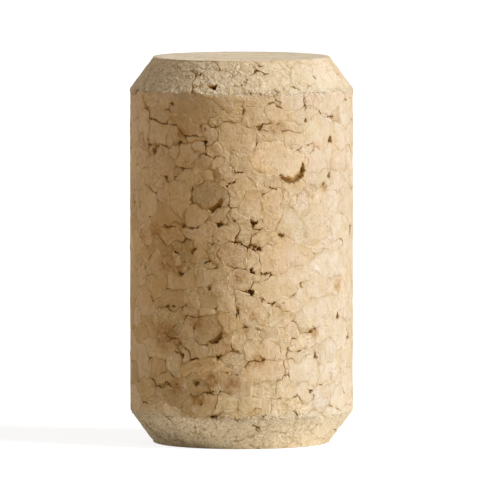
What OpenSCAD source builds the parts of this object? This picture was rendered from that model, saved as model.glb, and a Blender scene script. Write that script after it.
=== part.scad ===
// Bottle stopper moulded from cork granules: a plain cylinder with a chamfer
// ground on each end, and open pits and slits where granules don't quite meet.
// Units are millimetres. The origin is the centre of the bottom face, +Z is up.

/* [Body] */
// Diameter of the side wall
cork_d = 25.5; // [20:0.5:35]
// Length from end face to end face
cork_l = 44; // [30:1:60]

/* [Chamfers] */
// How far each chamfer reaches in from the side wall
chamfer_w = 2.65; // [1:0.05:4]
// How far each chamfer reaches along the side wall
chamfer_l = 3.6; // [1.5:0.1:6]
// How far tumbling eases every edge back, along both of the faces it joins
edge_ease = 0.15; // [0.05:0.05:0.4]

/* [Granules] */
// Typical width of one granule, which sets how many gaps there are
granule_w = 3.4; // [2.5:0.1:5]
// Reach of the longest arm of the widest pit, from its middle
pit_reach = 0.9; // [0.4:0.05:1.4]
// Depth of the widest pit
pit_depth = 0.6; // [0.2:0.05:1]
// Width of the widest slit, at its middle
slit_w = 0.35; // [0.15:0.05:0.6]
// Depth of the widest slit
slit_depth = 0.4; // [0.15:0.05:0.6]
// Width of the open crescent beside a rounded granule
crescent_w = 0.5; // [0.2:0.05:0.8]
// Depth of the open crescent
crescent_depth = 0.5; // [0.2:0.05:0.8]

/* [Hidden] */

// Pits on the front of the side wall and the chamfers, where granules meet by
// threes. Each row holds the turn from the front in degrees, the height as a
// share of the length, the size as a share of the widest pit, and the way its
// longest arm points, in degrees from the right.
FRONT_PITS = [
    [-15, 0.936, 0.9, 170],
    [-38, 0.892, 0.6, 200],
    [-54, 0.780, 0.65, 110],
    [-51, 0.764, 0.8, 130],
    [-33, 0.792, 0.7, 10],
    [-19, 0.794, 0.85, 140],
    [-14, 0.830, 0.5, 50],
    [9, 0.830, 0.6, 25],
    [52, 0.792, 0.8, 90],
    [35, 0.846, 0.45, 80],
    [51, 0.701, 0.6, 60],
    [47, 0.680, 0.4, 70],
    [6, 0.584, 0.9, 30],
    [21, 0.553, 0.6, 150],
    [9, 0.520, 0.7, 80],
    [5, 0.459, 0.9, 110],
    [5, 0.408, 0.9, 10],
    [16, 0.378, 0.55, 30],
    [10, 0.387, 0.35, 90],
    [-26, 0.512, 0.7, 40],
    [-32, 0.453, 0.65, 150],
    [-17, 0.419, 0.4, 45],
    [-12, 0.581, 0.8, 20],
    [-31, 0.576, 0.6, 170],
    [-12, 0.242, 0.75, 30],
    [-32, 0.245, 0.65, 150],
    [-24, 0.172, 0.7, 40],
    [-2, 0.351, 0.55, 110],
    [2, 0.321, 0.65, 95],
    [38, 0.303, 0.65, 160],
    [41, 0.239, 0.65, 100],
    [32, 0.427, 0.4, 60],
    [59, 0.336, 0.7, 70],
    [11, 0.234, 0.55, 40],
    [23, 0.196, 0.35, 80],
    [38, 0.151, 0.5, 140],
    [-14, 0.086, 0.9, 170]
];

// Open slits on the front, where two granules part along their seam. Each row
// holds the turn and the height as above, the size as a share of the widest
// slit, the way it runs, in degrees from the right, and its length.
FRONT_SLITS = [
    [-66, 0.955, 0.8, 55, 1.6],
    [-24, 0.968, 1.0, 30, 2.2],
    [-27, 0.961, 0.6, 85, 1.6],
    [3, 0.952, 0.8, 45, 2.6],
    [46, 0.958, 0.5, 110, 2.8],
    [18, 0.904, 0.45, 135, 2.6],
    [35, 0.884, 0.6, 90, 2.0],
    [1, 0.868, 0.6, 80, 2.6],
    [44, 0.869, 0.6, 140, 1.6],
    [52, 0.853, 0.6, 170, 2.6],
    [-52, 0.848, 0.7, 165, 3.6],
    [-57, 0.803, 0.7, 130, 1.6],
    [-20, 0.829, 0.6, 145, 1.6],
    [-25, 0.809, 0.6, 165, 1.8],
    [10, 0.838, 0.8, 30, 1.2],
    [37, 0.784, 0.5, 140, 1.6],
    [-43, 0.701, 0.8, 170, 2.4],
    [-1, 0.717, 0.8, 5, 1.6],
    [-5, 0.690, 0.9, 30, 2.8],
    [16, 0.674, 0.5, 165, 2.0],
    [-26, 0.646, 0.7, 100, 1.6],
    [-54, 0.588, 0.7, 145, 2.4],
    [-25, 0.573, 1.0, 5, 2.8],
    [-40, 0.574, 0.8, 2, 3.4],
    [-3, 0.594, 0.5, 155, 2.8],
    [-5, 0.538, 0.5, 160, 2.6],
    [-15, 0.531, 0.7, 35, 2.0],
    [3, 0.527, 0.7, 165, 3.0],
    [42, 0.504, 0.6, 165, 1.4],
    [-16, 0.490, 1.0, 20, 2.8],
    [11, 0.455, 0.7, 10, 2.0],
    [-4, 0.404, 0.7, 10, 1.6],
    [12, 0.388, 0.6, 155, 2.2],
    [25, 0.392, 0.45, 35, 3.0],
    [-53, 0.384, 0.7, 135, 2.2],
    [-40, 0.367, 1.0, 0, 3.6],
    [9, 0.312, 0.5, 170, 2.6],
    [-25, 0.309, 0.7, 95, 1.6],
    [-41, 0.293, 0.9, 160, 2.0],
    [24, 0.259, 0.5, 90, 3.4],
    [-2, 0.254, 0.6, 160, 1.8],
    [-24, 0.235, 1.0, 5, 2.8],
    [-5, 0.200, 0.5, 165, 2.6],
    [-40, 0.168, 0.7, 2, 3.4],
    [-53, 0.178, 0.5, 135, 2.2],
    [46, 0.165, 0.5, 175, 2.4],
    [40, 0.134, 0.6, 100, 1.4],
    [-16, 0.150, 0.8, 20, 2.8],
    [-21, 0.122, 0.6, 35, 1.4],
    [-67, 0.045, 1.0, 125, 1.6],
    [-26, 0.058, 0.8, 100, 1.6],
    [-23, 0.032, 1.0, 150, 1.8],
    [8, 0.060, 0.8, 140, 2.4],
    [45, 0.050, 0.5, 65, 2.2]
];

// Open crescents on the front. Each row holds the turn and the height of the
// rounded granule's middle, its radius in millimetres, the way to where the
// crescent starts, and how far round it runs.
FRONT_CRESCENTS = [
    [26, 0.730, 1.6, -150, 165],
    [-17, 0.655, 1.5, -95, 85],
    [-17, 0.313, 1.5, -95, 85]
];

// The front, where the rows above hold, reaches this far to each side
FRONT_HALF = 68;
// Granules to each gap elsewhere on the side wall, and to each end face's pits
GRANULES_PER_GAP = 2.2;
GRANULES_PER_END_PIT = 4;
// Steps that spread gaps evenly without rows or columns
TURN_STEP = 0.7548776662;
HEIGHT_STEP = 0.5698402909;
SIZE_STEP = 0.6180339887;
GOLDEN_TURN = 137.50776;

// A pit's arms, as shares of its reach, and its waist between two arms
ARMS = [1, 0.6, 0.75];
WAIST = 0.4;
// Least and greatest gap round the back and on the end faces, as such shares
BACK_SIZES = [0.4, 1];
END_SIZES = [0.35, 0.65];
// How far out on an end face its pits spread, as a share of its radius
END_SPREAD = 0.9;
// How far past the skin a gap's cutter reaches
CLEAR = 0.3;

body_steps = 96;
round_steps = 32;

wall_r = cork_d / 2;
end_r = wall_r - chamfer_w;
chamfer_tilt = atan2(chamfer_w, chamfer_l);
back_turn = 360 - 2 * FRONT_HALF;
back_area = PI * cork_d * cork_l * back_turn / 360;
back_count = round(back_area / (GRANULES_PER_GAP * granule_w * granule_w));
end_count = round(PI * end_r * end_r / (GRANULES_PER_END_PIT * granule_w * granule_w));

function part_of(x) = x - floor(x);
function size_of(i, sizes) = sizes[0] + (sizes[1] - sizes[0]) * part_of(i * SIZE_STEP);

// Radius of the skin at a height, and how far it tips down there
function skin_r(z) = wall_r - chamfer_w * max(0, 1 - min(z, cork_l - z) / chamfer_l);
function skin_tip(z) = z < chamfer_l ? chamfer_tilt : z > cork_l - chamfer_l ? -chamfer_tilt : 0;

function unit(v) = v / norm(v);

// Outlines of the gaps, flat, before they are laid on the skin
function ray(length, way) = length * [cos(way), sin(way)];
function pit_outline(reach, way) = [
    for (i = [0 : len(ARMS) - 1], side = [0, 1])
        ray(side == 0 ? ARMS[i] * reach : WAIST * reach, way + (i + side / 2) * 360 / len(ARMS))
];
function slit_outline(length, width, way) = [
    ray(length / 2, way), ray(width / 2, way + 90),
    ray(-length / 2, way), ray(-width / 2, way + 90)
];

// Half section of the body. Each corner is its point and the ways to the
// points before and after it, and is eased back along both.
module body_section() {
    foot = [end_r, 0];
    low = [wall_r, chamfer_l];
    high = [wall_r, cork_l - chamfer_l];
    head = [end_r, cork_l];
    inward = [-1, 0];
    corners = [[foot, inward, low - foot], [low, foot - low, high - low],
               [high, low - high, head - high], [head, high - head, inward]];
    polygon(concat([[0, 0]],
        [for (c = corners, way = [c[1], c[2]]) c[0] + edge_ease * unit(way)],
        [[0, cork_l]]));
}

// Lays what is drawn flat, with X to the right and Y up, on the skin
module on_skin(turn, height) {
    z = height * cork_l;
    rotate([0, 0, turn - 90])
        translate([skin_r(z), 0, z])
            rotate([0, skin_tip(z), 0])
                rotate([90, 0, 90])
                    children();
}

// The gaps, each cut upright from CLEAR above the skin down to its floor
module pit(size, way) {
    depth = size * pit_depth;
    translate([0, 0, -depth])
        linear_extrude(depth + CLEAR)
            polygon(pit_outline(size * pit_reach, way));
}

module slit(size, way, length) {
    depth = size * slit_depth;
    translate([0, 0, -depth])
        linear_extrude(depth + CLEAR)
            polygon(slit_outline(length, size * slit_w, way));
}

module crescent(granule_r, start, run) {
    rotate([0, 0, start])
        rotate_extrude(angle = run, $fn = round_steps)
            translate([granule_r - crescent_w / 2, -crescent_depth])
                square([crescent_w, crescent_depth + CLEAR]);
}

module front_gaps() {
    for (p = FRONT_PITS)
        on_skin(p[0], p[1])
            pit(p[2], p[3]);
    for (s = FRONT_SLITS)
        on_skin(s[0], s[1])
            slit(s[2], s[3], s[4]);
    for (c = FRONT_CRESCENTS)
        on_skin(c[0], c[1])
            crescent(c[2], c[3], c[4]);
}

// Pits and slits by turns round the rest of the side wall and the chamfers
module back_gaps() {
    for (i = [1 : back_count]) {
        size = size_of(i, BACK_SIZES);
        turn = FRONT_HALF + back_turn * part_of(i * TURN_STEP);
        on_skin(turn, part_of(i * HEIGHT_STEP))
            if (i % 2 == 0)
                pit(size, i * GOLDEN_TURN);
            else
                slit(size, i * GOLDEN_TURN, size * granule_w);
    }
}

// Small pits on an end face, drawn looking at it
module end_gaps() {
    for (i = [1 : end_count]) {
        away = END_SPREAD * end_r * sqrt((i - 0.5) / end_count);
        translate(ray(away, i * GOLDEN_TURN))
            pit(size_of(i, END_SIZES), -i * GOLDEN_TURN);
    }
}

module cork_stopper() {
    color("burlywood")
        difference() {
            rotate_extrude($fn = body_steps)
                body_section();
            front_gaps();
            back_gaps();
            translate([0, 0, cork_l])
                end_gaps();
            rotate([180, 0, 0])
                end_gaps();
        }
}

cork_stopper();
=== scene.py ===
"""Dresses a bottle stopper of bound cork: granules, seams, open pits and ground chamfers.

The skin is one mesh. Each granule is the part of the skin nearest to its own middle, measured
with its own stretched ruler, so that large, small, round and long granules pack together as
pressed cork does. Seams, pits, slits and crescents are pressed inwards from the plain form, which
the skin never leaves. Lengths are millimetres until the mesh is handed to Blender in metres.
"""

import logging
import math
from dataclasses import dataclass, field
from enum import Enum, IntEnum
from functools import reduce

import bpy
import numpy as np
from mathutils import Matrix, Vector, noise


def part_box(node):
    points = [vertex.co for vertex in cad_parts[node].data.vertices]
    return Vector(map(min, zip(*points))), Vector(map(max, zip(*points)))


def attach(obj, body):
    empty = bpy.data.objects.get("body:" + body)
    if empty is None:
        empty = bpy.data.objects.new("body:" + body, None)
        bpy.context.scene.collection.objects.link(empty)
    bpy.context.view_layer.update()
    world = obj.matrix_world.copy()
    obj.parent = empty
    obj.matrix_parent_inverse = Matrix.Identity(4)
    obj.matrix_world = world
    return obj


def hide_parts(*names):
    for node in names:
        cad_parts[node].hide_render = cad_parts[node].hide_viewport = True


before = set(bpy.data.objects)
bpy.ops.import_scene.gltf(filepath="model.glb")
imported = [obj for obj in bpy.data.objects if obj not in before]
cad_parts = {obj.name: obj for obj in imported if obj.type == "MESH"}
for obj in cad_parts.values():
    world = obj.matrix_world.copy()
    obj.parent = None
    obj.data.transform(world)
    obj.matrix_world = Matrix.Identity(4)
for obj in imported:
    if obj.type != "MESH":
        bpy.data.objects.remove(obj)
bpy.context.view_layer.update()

MM = 0.001
NODE = "cork_stopper"
BODY = "root"
SEED = 20
# Keep divisions and comparisons clear of zero
TINY = 1e-9
LEAST = 1e-6
# Stands for places well away from every gap
FAR = 2.0
# Mark from which a spot shows in the finish
SPOT_EDGE = 0.1
# Distance between the places that two lots of noise are taken from
LOT_STEP = 17.3
# Change of a tint's lightness for a shade of one
SHADE_STEP = 0.14

Array = np.ndarray
Colour = tuple[float, float, float, float]
Socket = bpy.types.NodeSocket
log = logging.getLogger("cork")


class Lot(IntEnum):
    """Use of the smooth noise. Those that need three lots of it take the next two as well."""

    WOBBLE = 1
    JAG = 11
    FINE_JAG = 14
    PINCH = 17
    COARSE_OPENING = 21
    FINE_OPENING = 22
    GROUND_EDGE = 31
    SWELL = 41
    RAISED = 42
    GROUND = 43
    FINE_GROUND = 44
    CHIPS = 45


def unit(vectors: Array) -> Array:
    """Scale each vector to length one."""
    return vectors / np.maximum(np.linalg.norm(vectors, axis=-1, keepdims=True), TINY)


def blend(low: float, high: float, value: Array) -> Array:
    """Rise smoothly from 0 at low to 1 at high."""
    share = np.clip((value - low) / (high - low), 0, 1)
    return share * share * (3 - 2 * share)


def rumple(points: Array, grain: float, lot: int) -> Array:
    """Smooth noise from about -1 to 1.

    Args:
        points: Places in millimetres, one in each row.
        grain: Size of one swelling, in millimetres.
        lot: Lot of the noise, which keeps one use of it apart from the next.

    Returns:
        One value for each place.
    """
    places = points / grain + lot * LOT_STEP
    return np.array([noise.noise(Vector(place)) for place in places])


def placed(name: str, data: bpy.types.ID) -> bpy.types.Object:
    """Put something into the scene.

    Args:
        name: Its name.
        data: Its mesh, lamp or camera.

    Returns:
        The new object.
    """
    made = bpy.data.objects.new(name, data)
    bpy.context.scene.collection.objects.link(made)
    return made


@dataclass(frozen=True)
class StopperForm:
    """Plain form of the stopper, standing on its bottom face, in millimetres."""

    diameter: float
    length: float
    chamfer_w: float = 2.65
    chamfer_l: float = 3.6
    edge_r: float = 0.35

    @classmethod
    def from_frame(cls) -> "StopperForm":
        """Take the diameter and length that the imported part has."""
        low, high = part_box(NODE)
        return cls(diameter=(high[0] - low[0]) / MM, length=(high[2] - low[2]) / MM)

    @property
    def wall_r(self) -> float:
        """Radius of the side wall."""
        return self.diameter / 2

    @property
    def end_r(self) -> float:
        """Radius at which the flat end faces and the chamfers would meet."""
        return self.wall_r - self.chamfer_w

    def from_end(self, height: Array) -> Array:
        """Distance from a height to the nearer end face."""
        return np.minimum(height, self.length - height)

    def skin_r(self, height: Array) -> Array:
        """Radius of the skin at a height, with its edges left sharp."""
        ground = np.clip(1 - self.from_end(height) / self.chamfer_l, 0, None)
        return self.wall_r - self.chamfer_w * ground

    def tip(self, height: Array) -> Array:
        """Find how far the skin faces up from level.

        Args:
            height: Heights above the bottom face.

        Returns:
            The angle at each height, in radians.
        """
        tilt = math.atan2(self.chamfer_w, self.chamfer_l)
        low = np.where(height < self.chamfer_l, -tilt, 0.0)
        return np.where(height > self.length - self.chamfer_l, tilt, low)

    def place(self, turn: Array, height: Array) -> tuple[Array, Array, Array, Array]:
        """Find places on the side and chamfers, and the ways that lead from them.

        Args:
            turn: Turns from the front, in degrees, rightwards.
            height: Heights above the bottom face.

        Returns:
            The places, and the ways to the right, up along the skin and out of it.
        """
        way = np.radians(turn)
        tip = self.tip(height)
        radius = self.skin_r(height)
        out_flat = np.stack([np.sin(way), -np.cos(way), 0 * way], axis=-1)
        upright = np.array([0.0, 0.0, 1.0])
        places = radius[..., None] * out_flat + height[..., None] * upright
        right = np.stack([np.cos(way), np.sin(way), 0 * way], axis=-1)
        out = np.cos(tip)[..., None] * out_flat + np.sin(tip)[..., None] * upright
        up = np.cos(tip)[..., None] * upright - np.sin(tip)[..., None] * out_flat
        return places, right, up, out

    def half_section(self, step: float) -> Array:
        """Walk the half section from the bottom face's middle to the top face's middle.

        Args:
            step: Longest distance between two rows.

        Returns:
            Rows of radius, height, outward radius, outward height and distance walked.
        """
        corners = [
            (0.0, 0.0), (self.end_r, 0.0), (self.wall_r, self.chamfer_l),
            (self.wall_r, self.length - self.chamfer_l), (self.end_r, self.length),
            (0.0, self.length),
        ]
        rows: list[tuple[float, float, float, float]] = []
        start = np.array(corners[0])
        for before, corner, after in zip(corners, corners[1:], corners[2:]):
            here = np.array(corner)
            way_in = unit(here - np.array(before))
            way_out = unit(np.array(after) - here)
            bend = math.acos(float(way_in @ way_out))
            reach = self.edge_r * math.tan(bend / 2)
            rows += self._straight(start, here - way_in * reach, step)
            out_in = np.array([way_in[1], -way_in[0]])
            out_out = np.array([way_out[1], -way_out[0]])
            middle = here - way_in * reach - out_in * self.edge_r
            out = unit(out_in + out_out)
            rows.append((*(middle + out * self.edge_r), *out))
            start = here + way_out * reach
        rows += self._straight(start, np.array(corners[-1]), step)
        table = np.array(rows)
        walked = np.linalg.norm(np.diff(table[:, :2], axis=0), axis=1)
        return np.column_stack([table, np.concatenate([[0.0], np.cumsum(walked)])])

    @staticmethod
    def _straight(start: Array, end: Array, step: float) -> list[tuple[float, ...]]:
        """List rows along one straight stretch.

        Args:
            start: Radius and height at which the stretch starts.
            end: Radius and height at which it ends.
            step: Longest distance between two rows.

        Returns:
            Rows of radius, height, outward radius and outward height, both ends among them.
        """
        way = unit(end - start)
        count = max(1, math.ceil(float(np.linalg.norm(end - start)) / step))
        return [
            (*(start + (end - start) * i / count), way[1], -way[0]) for i in range(count + 1)
        ]


class Tint(Enum):
    """Cast of one granule's cork, as the colours that make up its skin."""

    PLAIN = (0.835, 0.670, 0.430)
    PALE = (0.870, 0.718, 0.490)
    ROSY = (0.820, 0.640, 0.408)
    OLIVE = (0.785, 0.625, 0.370)
    BROWN = (0.725, 0.540, 0.300)
    FLAT = (0.695, 0.540, 0.322)


@dataclass(frozen=True)
class Granule:
    """One granule that shows at the front.

    The turn is in degrees from the front, rightwards. The height, half width and half height are
    in millimetres. The lean is in degrees, and lifts the granule's right end.
    """

    turn: float
    height: float
    half_w: float
    half_h: float
    lean: float = 0.0
    tint: Tint = Tint.PLAIN
    shade: float = 0.0


def pale(turn: float, height: float, half_w: float, half_h: float, shade: float = 0.0) -> Granule:
    """List a pale granule that lies level."""
    return Granule(turn, height, half_w, half_h, 0.0, Tint.PALE, shade)


def rosy(turn: float, height: float, half_w: float, half_h: float, shade: float = 0.0) -> Granule:
    """List a rosy granule that lies level."""
    return Granule(turn, height, half_w, half_h, 0.0, Tint.ROSY, shade)


# Granules on the front, which the rest are packed round
# Their tints are partly painted light: pale granules are listed on the lit right and brown ones on the
# shaded left
FRONT_GRANULES = (
    # Top chamfer, from the left
    Granule(-55, 42.2, 3.0, 1.7), Granule(-33, 42.3, 1.3, 1.6), Granule(-21, 42.4, 1.5, 1.4),
    Granule(-8, 42.2, 1.5, 1.3), Granule(5, 41.9, 1.3, 0.9, 20), Granule(3, 43.5, 1.5, 0.6),
    Granule(20, 41.6, 1.8, 1.2), Granule(20, 43.4, 2.0, 0.7), Granule(38, 42.3, 1.6, 1.6),
    pale(57, 42.0, 2.2, 1.8),
    # Side wall, just under the top chamfer
    rosy(-66, 39.3, 1.4, 1.4), Granule(-53, 40.0, 1.9, 0.7), Granule(-55, 38.8, 1.1, 0.45),
    Granule(-45, 37.9, 2.3, 0.7, -10, Tint.FLAT, 0.4), Granule(-42, 39.5, 0.9, 0.8),
    Granule(-25, 38.8, 2.5, 1.7, -8, Tint.FLAT, 0.2), Granule(-33, 36.9, 2.4, 0.7, -14, Tint.BROWN, 0.3),
    Granule(-7, 39.8, 1.9, 0.8), Granule(-7, 38.0, 1.9, 0.9, 30, Tint.OLIVE, 0.1),
    Granule(7, 38.1, 1.3, 1.1), Granule(10, 39.9, 1.5, 0.7), pale(25, 39.7, 1.4, 0.8, -0.3),
    pale(38, 39.6, 0.8, 1.0), pale(53, 39.4, 2.5, 1.5), Granule(28, 37.8, 3.3, 0.7, -4, Tint.PLAIN, 0.2),
    Granule(-63, 36.6, 1.5, 1.2, shade=0.4), Granule(-49, 35.8, 1.7, 1.1),
    Granule(-36, 35.3, 1.5, 0.65, -5, Tint.ROSY, -0.2), Granule(-25, 35.3, 1.2, 0.5),
    Granule(20, 36.5, 2.5, 0.6, -6), pale(60, 35.4, 1.6, 1.6), pale(44, 36.0, 2.2, 1.7, 0.2),
    # Upper side wall
    rosy(-65, 33.4, 1.6, 1.6), rosy(-45, 32.6, 2.1, 1.5, -0.3), Granule(-36, 33.7, 1.0, 0.9),
    Granule(-29, 33.2, 0.9, 1.5), Granule(-22, 34.3, 0.7, 0.7),
    Granule(-20, 32.5, 1.1, 0.8, 0, Tint.FLAT), Granule(-13, 34.2, 1.0, 1.1),
    Granule(-3, 35.2, 2.1, 1.5), Granule(-8, 32.6, 0.7, 0.5), Granule(-16, 31.1, 0.9, 0.75),
    Granule(-1, 32.8, 1.2, 0.9), Granule(7, 31.0, 1.0, 0.9), Granule(13, 35.3, 2.0, 0.7, -6),
    Granule(28, 35.0, 1.3, 0.9, shade=0.3), Granule(18, 32.9, 2.9, 1.6, -14, Tint.PLAIN, 0.8),
    pale(35, 33.6, 0.8, 0.8), pale(45, 32.7, 1.5, 1.4), pale(63, 32.4, 2.0, 1.3),
    Granule(42, 30.5, 1.6, 0.8), pale(58, 30.2, 1.9, 1.1), Granule(28, 29.9, 1.6, 0.7, shade=0.1),
    Granule(14, 30.2, 1.2, 0.7), Granule(-62, 30.5, 1.9, 1.4), Granule(-50, 29.6, 1.6, 1.1),
    rosy(-42, 28.9, 1.2, 1.3, 0.1), Granule(-34, 29.2, 1.2, 1.2), Granule(-29, 31.1, 1.0, 0.9),
    Granule(-22, 30.8, 0.8, 0.6), Granule(-16.3, 28.75, 1.75, 1.2, 8, Tint.FLAT, -0.6),
    Granule(-9.5, 31.2, 0.9, 0.7), Granule(-2, 29.4, 1.5, 1.8),
    # Middle of the side wall
    rosy(5, 27.5, 1.2, 1.3), rosy(15, 27.4, 1.0, 1.9, 0.3), Granule(23, 28.5, 0.7, 0.9),
    Granule(28, 28.3, 0.8, 1.0, 0, Tint.OLIVE, 0.5), pale(35, 28.5, 0.9, 1.2),
    pale(27, 25.6, 1.5, 1.5, -0.3), pale(50, 27.9, 2.7, 1.5, 0.2), pale(44, 25.3, 2.3, 1.3),
    pale(62, 25.0, 1.6, 1.2), Granule(14, 24.3, 1.3, 0.8), Granule(1, 24.8, 1.2, 1.0, shade=-0.5),
    rosy(23, 22.0, 3.1, 1.5, 0.4), Granule(5, 21.6, 1.1, 1.1), pale(52, 23.0, 2.8, 0.7),
    pale(52, 20.9, 2.8, 1.2, 0.1), Granule(21, 18.8, 3.0, 1.3, 18, Tint.PLAIN, 0.1),
    pale(43, 18.3, 1.9, 1.2), rosy(62, 18.2, 1.8, 1.0, 0.6), Granule(29, 16.8, 1.9, 1.0, shade=0.3),
    pale(45, 15.6, 2.1, 1.3), pale(63, 15.6, 1.7, 1.4), Granule(20, 15.2, 2.0, 0.9, shade=-0.1),
    Granule(6, 16.1, 1.9, 1.6), Granule(-1, 19.5, 1.3, 1.1, shade=-0.2), Granule(-56, 27.4, 1.5, 1.6),
    Granule(-44, 26.5, 1.9, 1.1, 0, Tint.BROWN), Granule(-34, 27.5, 1.3, 1.1),
    Granule(-23, 26.9, 1.5, 0.8), Granule(-12, 26.9, 1.1, 1.2, 0, Tint.FLAT),
    Granule(-4, 26.9, 0.9, 0.9), Granule(-21, 24.5, 1.9, 1.1),
    Granule(-42, 24.3, 2.3, 0.8, 0, Tint.BROWN, 0.3), rosy(-61, 24.3, 1.7, 1.2),
    Granule(-32, 22.7, 1.2, 1.2, 0, Tint.OLIVE, -0.8),
    Granule(-48, 22.7, 2.3, 0.6, -12, Tint.BROWN, -0.6), Granule(-63, 21.9, 1.7, 1.0, 0, Tint.BROWN),
    Granule(-22, 22.0, 0.9, 0.9, 0, Tint.BROWN, 0.5), Granule(-14, 22.3, 0.8, 1.5, 0, Tint.OLIVE, -0.5),
    rosy(-5, 22.4, 1.2, 1.4, -0.6), Granule(-21, 20.9, 1.7, 0.5, 8, Tint.OLIVE, -0.6),
    rosy(-48, 20.6, 2.5, 0.8, -0.2), rosy(-34, 20.8, 0.9, 0.5), rosy(-64, 19.3, 1.4, 1.2),
    Granule(-50, 18.4, 1.6, 1.2, 0, Tint.BROWN, 0.3), Granule(-37, 18.9, 1.3, 0.9),
    Granule(-27, 19.1, 0.8, 0.9), Granule(-20, 19.3, 0.8, 0.8, shade=-0.6), Granule(-10, 19.6, 1.1, 1.3),
    # Lower side wall
    Granule(-18, 17.3, 1.2, 1.0, 0, Tint.FLAT, 0.2), Granule(-26, 17.3, 0.8, 0.9),
    Granule(-41, 17.0, 2.1, 0.8, 0, Tint.BROWN, -0.1), rosy(-62, 16.6, 1.9, 1.4),
    Granule(-9, 17.0, 1.0, 1.1), Granule(-27, 15.6, 0.9, 0.6), Granule(-18, 15.5, 1.1, 0.5),
    Granule(-40, 15.1, 2.1, 0.9, 0, Tint.OLIVE, -0.1), Granule(-57, 14.9, 1.6, 0.8, 0, Tint.BROWN),
    Granule(-7, 14.6, 1.1, 1.3, 0, Tint.BROWN, 0.4),
    Granule(-16.3, 13.8, 1.75, 1.2, 8, Tint.BROWN, -1.0), Granule(-28, 13.4, 0.9, 1.3),
    Granule(-36, 13.9, 1.2, 1.0, 0, Tint.OLIVE, -0.8), Granule(-50, 13.1, 2.2, 0.6, -12, Tint.BROWN),
    Granule(-64, 12.9, 1.6, 1.0, 0, Tint.BROWN), rosy(-47, 11.5, 2.6, 0.9, -0.1),
    Granule(-23, 11.7, 1.5, 0.75, shade=-0.2), Granule(-11.5, 11.9, 1.1, 1.1, 0, Tint.BROWN, 0.2),
    Granule(-4, 10.4, 1.3, 0.9, shade=-0.4), Granule(-21, 9.3, 2.0, 0.9, 0, Tint.BROWN, 0.6),
    Granule(-36, 9.5, 1.2, 0.8), Granule(-49, 9.3, 1.5, 1.2, 0, Tint.BROWN), rosy(-64, 9.3, 1.7, 1.6),
    Granule(-37, 7.9, 1.7, 0.7, 0, Tint.BROWN, 0.3), Granule(-23, 7.4, 1.1, 0.9, 0, Tint.BROWN, -0.4),
    Granule(-14, 7.6, 0.8, 1.4, 0, Tint.OLIVE), rosy(-4, 7.6, 1.3, 1.3, -0.6),
    Granule(-40, 6.0, 2.3, 0.9, 0, Tint.BROWN, -0.5), Granule(-61, 6.3, 1.8, 1.2, 0, Tint.BROWN),
    Granule(-18, 5.4, 1.3, 0.9, 0, Tint.BROWN, 0.4), Granule(-28, 5.3, 0.8, 0.8, 0, Tint.BROWN, -0.6),
    Granule(-7, 5.3, 1.3, 0.8), Granule(5, 13.0, 1.3, 0.8), Granule(14, 13.2, 1.0, 0.8, shade=-0.5),
    Granule(8, 14.5, 1.2, 0.45), Granule(5, 11.2, 0.8, 0.8), Granule(-1, 12.6, 0.8, 0.9),
    rosy(14, 11.2, 1.0, 0.9, 0.3), Granule(21, 12.1, 0.75, 1.9, shade=0.3), Granule(28, 13.6, 1.1, 0.6),
    Granule(28, 11.8, 1.0, 0.9, shade=0.3), pale(36, 12.4, 1.0, 1.1), pale(33, 10.4, 1.7, 0.5),
    pale(49, 11.0, 1.6, 1.2, -0.5), pale(51, 13.3, 1.9, 0.9), pale(65, 12.4, 1.4, 1.5),
    rosy(13, 9.0, 1.9, 1.1, 0.2), Granule(23, 9.0, 0.55, 0.9, shade=-0.2), pale(35, 8.9, 2.0, 1.1, 0.2),
    pale(51, 8.6, 2.1, 1.0, 0.2), pale(65, 7.7, 1.4, 1.3), Granule(12, 7.1, 1.6, 0.7, shade=0.1),
    Granule(24, 6.8, 1.3, 0.7, shade=0.3), pale(33, 6.3, 1.0, 1.2), pale(46, 6.2, 1.7, 1.3, -0.8),
    pale(62, 5.4, 1.7, 0.9), Granule(8, 5.3, 1.6, 0.7), Granule(25, 5.2, 2.3, 0.6, shade=0.5),
    # Bottom chamfer, from the left
    Granule(-55, 2.2, 3.0, 1.7), Granule(-33, 2.2, 1.3, 1.6), Granule(-20, 2.3, 1.4, 1.5),
    Granule(-7, 2.2, 1.6, 1.4), Granule(6, 3.0, 1.4, 0.8, -20), Granule(6, 0.9, 1.8, 0.8),
    Granule(21, 2.9, 1.9, 1.0), Granule(22, 0.8, 2.2, 0.7), Granule(39, 2.2, 1.5, 1.7),
    pale(57, 2.2, 2.2, 1.8),
)


# Pits: reach and depth of the largest, lengths of the three arms, and the waist between arms
PIT_REACH = 0.9
PIT_DEPTH = 0.6
PIT_ARMS = (1.0, 0.6, 0.75)
PIT_WAIST = 0.4
ARM_TURN = 360 / len(PIT_ARMS)
# Slits: width and depth of the widest, and the share of its painted shade that a slit shows
SLIT_W = 0.35
SLIT_DEPTH = 0.4
SLIT_GLOOM = 0.75
# Crescents: width, depth, and the share of the painted shade that shows beside the rounded granule
CRESCENT_W = 0.5
CRESCENT_DEPTH = 0.5
CRESCENT_GLOOM = 0.35


@dataclass(frozen=True)
class Gap:
    """An opening in the skin, where granules don't quite meet.

    The turn is in degrees from the front, rightwards, and the height a share of the length.
    """

    turn: float
    height: float

    @property
    def reach(self) -> float:
        """Distance from the middle to the furthest point of the outline."""
        raise NotImplementedError

    @property
    def depth(self) -> float:
        """Depth at the deepest point."""
        raise NotImplementedError

    @property
    def breadth(self) -> float:
        """Typical distance from the deepest line to the outline."""
        raise NotImplementedError

    def share(self, right: Array, up: Array) -> Array:
        """Tell how far inside the outline places to the right of and above the middle are."""
        raise NotImplementedError

    def gloom(self, right: Array, up: Array) -> Array:
        """Tell what share of its painted shade the gap shows, at the same places."""
        return np.ones(len(right))


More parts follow.
